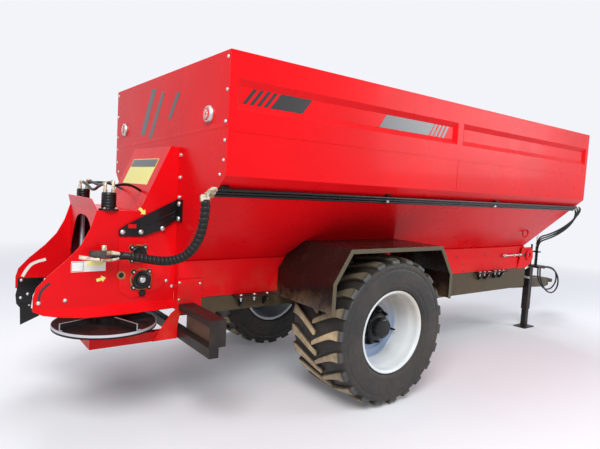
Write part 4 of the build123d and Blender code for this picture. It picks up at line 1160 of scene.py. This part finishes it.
class SPREADER_OT_fittings(bpy.types.Operator):
    """Makes the valve, the motors with their hoses, and the pipes' end fittings."""

    bl_idname = "spreader.fittings"
    bl_label = "Hydraulic fittings"

    def execute(self, context):
        self.valve()
        self.motors()
        self.elbows()
        return {"FINISHED"}

    def valve(self):
        """A round valve body beside the housing, its blocks, its bright ends and two thin hoses."""
        y, body = VALVE_Y, 0.124
        can = [(0.001, 0.0), (0.021, 0.0), (0.024, 0.004), (0.024, 0.120), (0.021, body), (0.001, body)]
        grey = [turned(can, (-0.556, y, 1.089), (1, 0, 0), 28),
                block(-0.5000, -0.4450, y - 0.022, y + 0.022, 1.066, 1.112),
                block(-0.545, -0.495, y + 0.018, -SIDE_Y, 1.075, 1.103)]
        piece("valve_body", grey, dark_steel(), bevel=0.001, replaces=["side_valve"])
        nose = [(-0.618, y - 0.012, 1.079), (-0.56, y - 0.020, 1.066), (-0.51, y - 0.026, 1.062)]
        upper = [(-0.470, y - 0.026, 1.098), (-0.435, y - 0.028, 1.100), (-0.395, y - 0.022, 1.092)]
        lower = [(-0.500, y - 0.026, 1.056), (-0.452, y - 0.030, 1.055), (-0.395, y - 0.018, 1.064)]
        pale = [tube(smooth_path(nose, 8), [0.012] * 5 + [0.010] * 3, 14),
                stud(0.014, 0.030, 0.011, 0.034, (-0.478, y, 1.108), (0, 0, 1), 6),
                tube(upper, [0.013, 0.013, 0.010], 14), tube(lower, [0.009, 0.009, 0.008], 12)]
        piece("valve_fittings", pale, fitting_cream())
        upper = [(-0.398, y - 0.022, 1.093), (-0.36, y - 0.014, 1.086), (-0.30, y - 0.008, 1.078)]
        lower = [(-0.398, y - 0.018, 1.064), (-0.36, y - 0.012, 1.062), (-0.30, y - 0.008, 1.066)]
        thin = [tube(smooth_path(line, 10), radius, 12) for line, radius in ((upper, 0.010), (lower, 0.009))]
        piece("valve_hoses", thin, hose_rubber())

    def motors(self):
        """Black ribbed motors on flanges, with bright fittings and short hoses between them."""
        cans, bright, hoses = [], [], []
        top, up = MOTOR_Z + 0.110, (0, 0, 1)
        for side in (-1, 1):
            inward = (0, -side, 0)
            ribs = [(0.0585, 0.0), (0.0585, 0.010), (0.0440, 0.013)]
            for z in (0.018 + 0.017 * k for k in range(5)):
                ribs += [(0.0425, z), (0.0440, z + 0.003), (0.0440, z + 0.012), (0.0425, z + 0.015)]
            ribs += [(0.0400, 0.110), (0.0010, 0.110)]
            cans.append(turned(ribs, (DISC_X, side * DISC_Y, MOTOR_Z), up, 32))
            for a in around(4, math.pi / 4):
                at = (DISC_X + 0.048 * math.cos(a), side * DISC_Y + 0.048 * math.sin(a), MOTOR_Z + 0.010)
                bright += bolt(at, up, 0.008, 0.007)
            for dx, dy, tall in ((-0.020, 0.012, 0.045), (0.020, -0.012, 0.058)):
                base = np.array([DISC_X + dx, side * DISC_Y + dy, top])
                bright.append(turned([(0.013, 0.0), (0.013, 0.018), (0.011, 0.020)], base, up, 6))
                bends = [(0, 0, 0.018), (0, 0, tall), (0.004, -side * 0.010, tall + 0.006),
                         (0.008, -side * 0.040, tall + 0.004)]
                bright.append(tube(smooth_path(base + bends, 14), 0.0095, 12))
                end = base + [0.008, -side * 0.036, tall + 0.004]
                bright.append(turned([(0.0125, 0.0), (0.0125, 0.016), (0.010, 0.018)], end, inward, 6))
        left = np.array([DISC_X - 0.012, DISC_Y - 0.024, 1.500])
        right = np.array([DISC_X - 0.012, -DISC_Y + 0.048, 1.502])
        for k, dip in enumerate((0.055, 0.025)):
            start = left + [0.040 * k, -0.010, 0.012 * k]
            stop = right + [0.040 * k, 0.0, 0.012 * k]
            line = [start, start + [0, -0.10, -0.01], (start + stop) / 2 + [0, 0, -dip],
                    stop + [0, 0.10, -0.005], stop]
            hoses.append(tube(smooth_path(line, 30), 0.0095, 12))
        for side in (-1, 1):
            away = np.array([DISC_X + 0.030, side * DISC_Y, 1.494])
            bends = [(0, 0, 0), (0.06, -side * 0.03, 0.015), (0.16, -side * 0.09, 0.0),
                     (0.235, -side * 0.14, -0.045)]
            hoses.append(tube(smooth_path(away + bends, 24), 0.0085, 12))
        piece("spinner_motors", cans, gloss_black(), smooth=24,
              replaces=["disc_motor_left", "disc_motor_right"])
        base = block(DISC_X - 0.075, DISC_X + 0.045, DISC_Y - 0.075, DISC_Y + 0.055, MOTOR_Z + 0.001,
                     MOTOR_Z + 0.013)
        piece("motor_base", [base], dark_steel(), bevel=0.002)
        piece("motor_fittings", bright, fitting_cream())
        piece("motor_hoses", hoses, hose_rubber())

    def elbows(self):
        """Bright elbows where the pipes turn down into the rear hose, and straight ends in front."""
        parts = []
        middle, foot = -0.9208, 1.440
        for i, (y, z) in enumerate(zip(FRONT_Y, FRONT_Z)):
            back = 0.010 * i
            parts.append(turned([(0.0115, 0.0), (0.0115, 0.034)], (4.230, y, z), (1, 0, 0), 6))
            line = [(-0.030, y, z), (-0.066 - back, y, z), (-0.076 - back, y * 0.4 + middle * 0.6, z - 0.028),
                    (-0.094 + back, middle, foot + 0.012)]
            parts.append(tube(smooth_path(line, 16), 0.0120, 14))
            nut = [(0.0155, 0.0), (0.0155, 0.022), (0.013, 0.024)]
            parts.append(turned(nut, (-0.036, y, z), (-1, 0, 0), 6))
        collar = [(0.026, 0.0), (0.0285, 0.004), (0.0285, 0.030), (0.020, 0.040), (0.001, 0.040)]
        parts.append(turned(collar, (-0.084, middle, foot), (0, 0, 1), 24))
        piece("pipe_elbows", parts, fitting_cream(), replaces=["pipe_fittings"])


class SPREADER_OT_wheels(bpy.types.Operator):
    """Makes the rims with their deep dish, the hubs, nuts and valves."""

    bl_idname = "spreader.wheels"
    bl_label = "Wheels"

    def execute(self, context):
        for side, suffix in ((-1, "right"), (1, "left")):
            body = f"wheel_{suffix}"
            face = np.array([WHEEL_X, side * TYRE_FACE, WHEEL_Z])
            inward = (0, -side, 0)
            # Sections of the rim and the hub, as (radius, distance in from the tyre's outer face).
            wheel = [
                (0.2855, 0.020), (0.2920, 0.016), (0.3005, 0.015), (0.3035, 0.019), (0.3005, 0.025),
                (0.2935, 0.026), (0.2885, 0.034), (0.2860, 0.060), (0.2850, 0.085), (0.2770, 0.105),
                (0.2730, 0.125), (0.2730, 0.400), (0.2820, 0.430), (0.2860, 0.470), (0.2900, 0.525),
                (0.3005, 0.530), (0.3010, 0.535), (0.2800, 0.535), (0.2760, 0.500), (0.2680, 0.420),
                (0.2640, 0.290), (0.2500, 0.273), (0.2350, 0.267), (0.1750, 0.263), (0.0600, 0.2615),
                (0.0600, 0.2505), (0.1720, 0.2505), (0.1830, 0.2450), (0.1880, 0.2380), (0.2150, 0.2360),
                (0.2380, 0.2430), (0.2520, 0.2450), (0.2610, 0.2350), (0.2645, 0.2150), (0.2650, 0.125),
                (0.2690, 0.100), (0.2760, 0.082), (0.2780, 0.060), (0.2785, 0.040), (0.2810, 0.026),
            ]
            rim = turned(wheel, face, inward, 96, closed=True)
            piece(f"rim_dish_{suffix}", [rim], rim_paint(), body=body, smooth=40,
                  replaces=[f"rim_{suffix}"])
            hub = [
                (0.0010, 0.1050), (0.0520, 0.1055), (0.0660, 0.1090), (0.0740, 0.1160), (0.0765, 0.1270),
                (0.0765, 0.1600), (0.0800, 0.1620), (0.0960, 0.1640), (0.1020, 0.1700), (0.1040, 0.1780),
                (0.1060, 0.2150), (0.1120, 0.2260), (0.1480, 0.2300), (0.1520, 0.2330), (0.1520, 0.2498),
                (0.0598, 0.2500), (0.0598, 0.3070), (0.0950, 0.3120), (0.0950, 0.4970), (0.0010, 0.4970),
            ]
            piece(f"hub_drum_{suffix}", [turned(hub, face, inward, 48)], gloss_black(),
                  body=body, smooth=35, replaces=[f"hub_{suffix}"])
            nuts, out = [], (0, side, 0)

            def spot(a, radius, inside):
                """A place on the wheel: turned by a, at a radius, some way in from the tyre's face."""
                return face + np.array([radius * math.cos(a), -side * inside, radius * math.sin(a)])

            for a in around(10):
                for profile, steps in (([(0.019, 0.0), (0.019, 0.004), (0.0165, 0.006)], 12),
                                       ([(0.0165, 0.005), (0.0165, 0.022), (0.014, 0.026)], 6),
                                       ([(0.0095, 0.020), (0.0095, 0.040), (0.0080, 0.042)], 10)):
                    nuts.append(turned(profile, spot(a, 0.1320, 0.2300), out, steps))
            for a in around(6, 0.3):
                nuts += bolt(spot(a, 0.0600, 0.1070), out, 0.005, 0.004, washer=False)
            piece(f"wheel_nuts_{suffix}", nuts, gloss_black(), body=body)
            stem = [(0, 0, 0), (0, side * 0.02, 0), (0.004, side * 0.045, 0.002)]
            stem = tube(spot(math.radians(-15), 0.212, 0.238) + stem, [0.010, 0.009, 0.008], 10)
            piece(f"tyre_valve_{suffix}", [stem], hose_rubber(), body=body)
        return {"FINISHED"}


def decal(name, shapes, axis, level, away, material):
    """Flat shapes laid on a face at right angles to an axis."""
    start, end = sorted((level, level + away * SKIN))
    piece(name, [prism(shape, axis, start, end) for shape in shapes], material)


def sheared(x0, x1, z0, z1, lean):
    """A parallelogram whose top is moved forward by lean."""
    return [(x0, z0), (x1, z0), (x1 + lean, z1), (x0 + lean, z1)]


class SPREADER_OT_markings(bpy.types.Operator):
    """Lays the plain slanted stripes, blocks and blank plates on the body."""

    bl_idname = "spreader.markings"
    bl_label = "Markings"

    def execute(self, context):
        level, foot, top = 0.9765, 1.994, 2.086
        bars = [sheared(0.089 + 0.047 * k, 0.114 + 0.047 * k, foot + 0.001, top, 0.070) for k in range(4)]
        bars.append(sheared(0.276, 0.509, foot, top, 0.072))
        bars.append(sheared(1.170, 1.694, foot, top, 0.066))
        bars += [sheared(1.712 + 0.046 * k, 1.740 + 0.046 * k, foot, top, 0.054) for k in range(4)]
        for side, name in ((-1, "right"), (1, "left")):
            decal(f"side_stripes_{name}", bars, 1, side * level, side, decal_black())
        stripes = [
            [(0.094, 2.191), (0.179, 2.201), (0.400, 1.885), (0.302, 1.875)],
            [(-0.068, 2.148), (-0.012, 2.154), (0.222, 1.846), (0.159, 1.839)],
            [(-0.337, 2.116), (-0.278, 2.123), (-0.140, 1.961), (-0.193, 1.957)],
        ]
        decal("rear_stripes", stripes, 0, REAR_FACE, -1, decal_black())
        plate = [(-0.641, 0.977), (-0.446, 0.977), (-0.446, 1.038), (-0.641, 1.041)]
        decal("blank_plate_white", [plate], 1, -SIDE_Y, -1, sign_white())
        band = [(-0.556, 1.014), (-0.455, 1.014), (-0.455, 1.033), (-0.556, 1.034)]
        decal("blank_plate_band", [band], 1, -SIDE_Y - SKIN, -1, sign_yellow())
        near, far = -SIDE_Y - SKIN, -SIDE_Y - 2 * SKIN
        lines = [(-0.6385, -0.6365, 0.981, 1.037), (-0.5750, -0.5730, 0.981, 1.037),
                 (-0.6385, -0.5730, 1.035, 1.037), (-0.6385, -0.5730, 0.981, 0.983)]
        piece("blank_plate_frame", [block(x0, x1, far, near, z0, z1) for x0, x1, z0, z1 in lines],
              decal_black())
        top, foot = np.array([-0.060, 1.765]), np.array([-0.250, 1.343])
        down = (foot - top) / np.linalg.norm(foot - top)
        out = np.array([down[1], -down[0]])

        def patch(t0, t1, half, lift):
            """A thin plate on the sloping cover, from t0 to t1 metres down it and half each way across."""
            corners = [(t0, lift), (t0, lift + 0.001), (t1, lift + 0.001), (t1, lift)]
            return prism([top + down * t + out * rise for t, rise in corners], 1, -half, half)

        piece("blank_plate_yellow", [patch(0.088, 0.280, 0.250, 0.0002)], sign_yellow())
        piece("blank_plate_dark", [patch(0.093, 0.150, 0.240, 0.0012)], decal_black())
        return {"FINISHED"}


class SPREADER_OT_body_details(bpy.types.Operator):
    """Makes the hopper's seams, the bolts of its rear wall and the crease across that wall."""

    bl_idname = "spreader.body_details"
    bl_label = "Hopper details"

    def execute(self, context):
        seams, bolts, half = [], [], 0.0035
        out, size = (-1, 0, 0), context.scene.spreader_sizes.bolt
        edge = ((0.970, 2.236), (0.974, 2.059), (0.970, 1.887), (0.969, 1.784), (0.966, 1.675),
                (0.928, 1.595))
        for side in (-1, 1):
            y0, y1 = sorted((side * HALF, side * (HALF + 0.0022)))
            seams.append(block(0.004, 4.256, y0, y1, SEAM_Z - half, SEAM_Z + half))
            seams.append(block(SEAM_X - half, SEAM_X + half, y0, y1, KNUCKLE_Z + 0.004, SEAM_Z - half))
            bolts += domes([(REAR_FACE, side * y, z) for y, z in edge], out, size)
            for z in (1.712, 1.568, 1.440):
                bolts += bolt((REAR_FACE, side * 0.385, z), out, size)
        piece("sheet_seams", seams, red_paint(), bevel=0.0008)
        piece("rear_wall_bolts", bolts, bright_steel())
        y = np.linspace(-0.985, 0.985, 9)
        z = 1.829 + y * -0.035
        crease = np.stack([np.full(9, -0.0048), y, z], axis=1)
        rows = [crease + [lift, 0.0, up]
                for lift, up in ((0.0, -0.014), (-0.0022, -0.004), (-0.0022, 0.004), (0.0, 0.014))]
        piece("rear_wall_crease", [grid(np.transpose(rows, (1, 0, 2)), wrap_columns=True, caps=True)],
              red_paint(), smooth=60)
        return {"FINISHED"}


class SPREADER_OT_front_details(bpy.types.Operator):
    """Makes the lifting rings, tension screws, jack crank, chain and hanger bolts."""

    bl_idname = "spreader.front_details"
    bl_label = "Front details"

    def execute(self, context):
        rings, screws, bolts, slots = [], [], [], []
        ring_z, rod_y, rod_z, bend_z = 1.203, 0.418, 0.925, 0.902
        slot = [(4.215, 0.896), (4.335, 0.896), (4.335, 0.938), (4.215, 0.938)]
        heads = ((2.990, 0.946), (3.484, 0.941), (3.093, 0.859), (3.102, 0.793), (1.95, 0.950),
                 (2.40, 0.948))
        ahead, up = np.array([1.0, 0, 0]), np.array([0, 0, 1.0])
        for side in (-1, 1):
            spot = np.array([3.890, side * (slope_y(ring_z) + 0.020), ring_z])
            rings.append(hoop(spot, ahead, up, 0.052, 0.052, 0.0085, 32, 10))
            slots.append(flat_on_side(slot, side * PLATE_Y, side))
            rod = [(x, side * rod_y, rod_z) for x in (3.790, 3.95, 4.180)]
            screws.append(tube(rod, 0.009, 12))
            for x in (3.800, 3.835, 4.020, 4.120):
                screws.append(stud(0.018, 0.014, 0.015, 0.016, (x, side * rod_y, rod_z), ahead, 6))
            for x, z in heads:
                # Below its bend the channel leans out.
                y = 0.400 + 0.012 * max(0.0, bend_z - z) / 0.130
                bolts += domes([(x, side * y, z)], (0, side, 0), 0.009)
            for x0, x1 in ((0.400, 0.720), (3.290, 3.530), (3.570, 3.800)):
                for x in (x0 + (x1 - x0) * share for share in (0.16, 0.5, 0.84)):
                    screws += domes([(x, side * 0.455, 0.772)], up, 0.014)
                    nut = [(0.014, 0.0), (0.014, 0.014), (0.008, 0.016), (0.008, 0.034), (0.001, 0.034)]
                    screws.append(turned(nut, (x, side * 0.455, 0.762), -up, 6))
        piece("lifting_loops", rings, red_dusty(), replaces=["lifting_rings"])
        # The tension slots are black film: painted shade in the openings.
        piece("tension_slots", slots, decal_black())
        piece("screws", screws, bright_steel())
        piece("channel_bolts", bolts, dark_steel())
        arm = [(4.560, -0.290, 0.748), (4.520, -0.330, 0.752), (4.440, -0.350, 0.748),
               (4.380, -0.350, 0.730), (4.345, -0.350, 0.690), (4.340, -0.350, 0.650)]
        grip = [(4.340, -0.350, 0.655), (4.340, -0.420, 0.650), (4.340, -0.450, 0.650)]
        piece("jack_crank", [tube(smooth_path(arm, 26), 0.010, 12), tube(grip, 0.012, 12)],
              bright_steel())
        links = []
        for k in range(12):
            middle = np.array([POST_X + 0.040, POST_Y - 0.040, 1.120 - 0.027 * k])
            flat = ahead if k % 2 else np.array([0, 1.0, 0])
            links.append(hoop(middle, flat, up, 0.0095, 0.0175, 0.0035, 20, 8))
        piece("holder_chain", links, bright_steel())
        ties, out = [], np.array([0, OUT_Y, OUT_Z])
        for x in (1.343, 2.715):
            spot = np.array([x, (FRONT_Y[0] + FRONT_Y[2]) / 2, (FRONT_Z[0] + FRONT_Z[2]) / 2]) + 0.012 * out
            ties += bolt(spot, out, 0.010, 0.010)
        piece("clamp_bolts", ties, bright_steel())
        return {"FINISHED"}


class SPREADER_OT_lamps(bpy.types.Operator):
    """Makes the round rear lamps with their bright bezels."""

    bl_idname = "spreader.lamps"
    bl_label = "Round lamps"

    def execute(self, context):
        lenses, bezels = [], []
        for side in (-1, 1):
            spot = (REAR_FACE, side * LAMP_Y, LAMP_Z)
            lens = [(0.037, 0.006), (0.037, 0.018), (0.030, 0.024), (0.018, 0.0275), (0.002, 0.0285)]
            lenses.append(turned(lens, spot, (-1, 0, 0), 40))
            bezel = [(0.036, 0.0), (0.052, 0.0), (0.053, 0.004), (0.0505, 0.013), (0.044, 0.020),
                     (0.037, 0.021)]
            bezels.append(turned(bezel, spot, (-1, 0, 0), 40, closed=True))
        piece("lamp_lenses", lenses, lamp_red(), replaces=["round_lamps"])
        piece("lamp_bezels", bezels, bright_steel())
        return {"FINISHED"}


class SPREADER_PT_panel(bpy.types.Panel):
    """Lists the spreader's sizes, colours and pieces."""

    bl_label = "Spreader"
    bl_idname = "SPREADER_PT_panel"
    bl_space_type = "VIEW_3D"
    bl_region_type = "UI"
    bl_category = "Spreader"

    def draw(self, context):
        for name in ("spreader_paint", "spreader_sizes", "spreader_stage"):
            group = getattr(context.scene, name)
            box = self.layout.box()
            for key in group.__annotations__:
                box.prop(group, key)
        for step in STEPS:
            self.layout.operator(step.bl_idname)


STEPS = (
    SPREADER_OT_camera,
    SPREADER_OT_hoses,
    SPREADER_OT_stage,
    SPREADER_OT_finishes,
    SPREADER_OT_tyres,
    SPREADER_OT_housing,
    SPREADER_OT_fittings,
    SPREADER_OT_wheels,
    SPREADER_OT_markings,
    SPREADER_OT_body_details,
    SPREADER_OT_front_details,
    SPREADER_OT_lamps,
)
GROUPS = {"spreader_paint": SpreaderPaint, "spreader_sizes": SpreaderSizes, "spreader_stage": SpreaderStage}


def register():
    for group in GROUPS.values():
        bpy.utils.register_class(group)
    for name, group in GROUPS.items():
        setattr(bpy.types.Scene, name, bpy.props.PointerProperty(type=group))
    for step in STEPS:
        bpy.utils.register_class(step)
    bpy.utils.register_class(SPREADER_PT_panel)


def unregister():
    bpy.utils.unregister_class(SPREADER_PT_panel)
    for step in reversed(STEPS):
        bpy.utils.unregister_class(step)
    for name in GROUPS:
        delattr(bpy.types.Scene, name)
    for group in GROUPS.values():
        bpy.utils.unregister_class(group)


def main():
    register()
    for step in STEPS:
        group, name = step.bl_idname.split(".")
        getattr(getattr(bpy.ops, group), name)()
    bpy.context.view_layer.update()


if __name__ == "__main__":
    main()
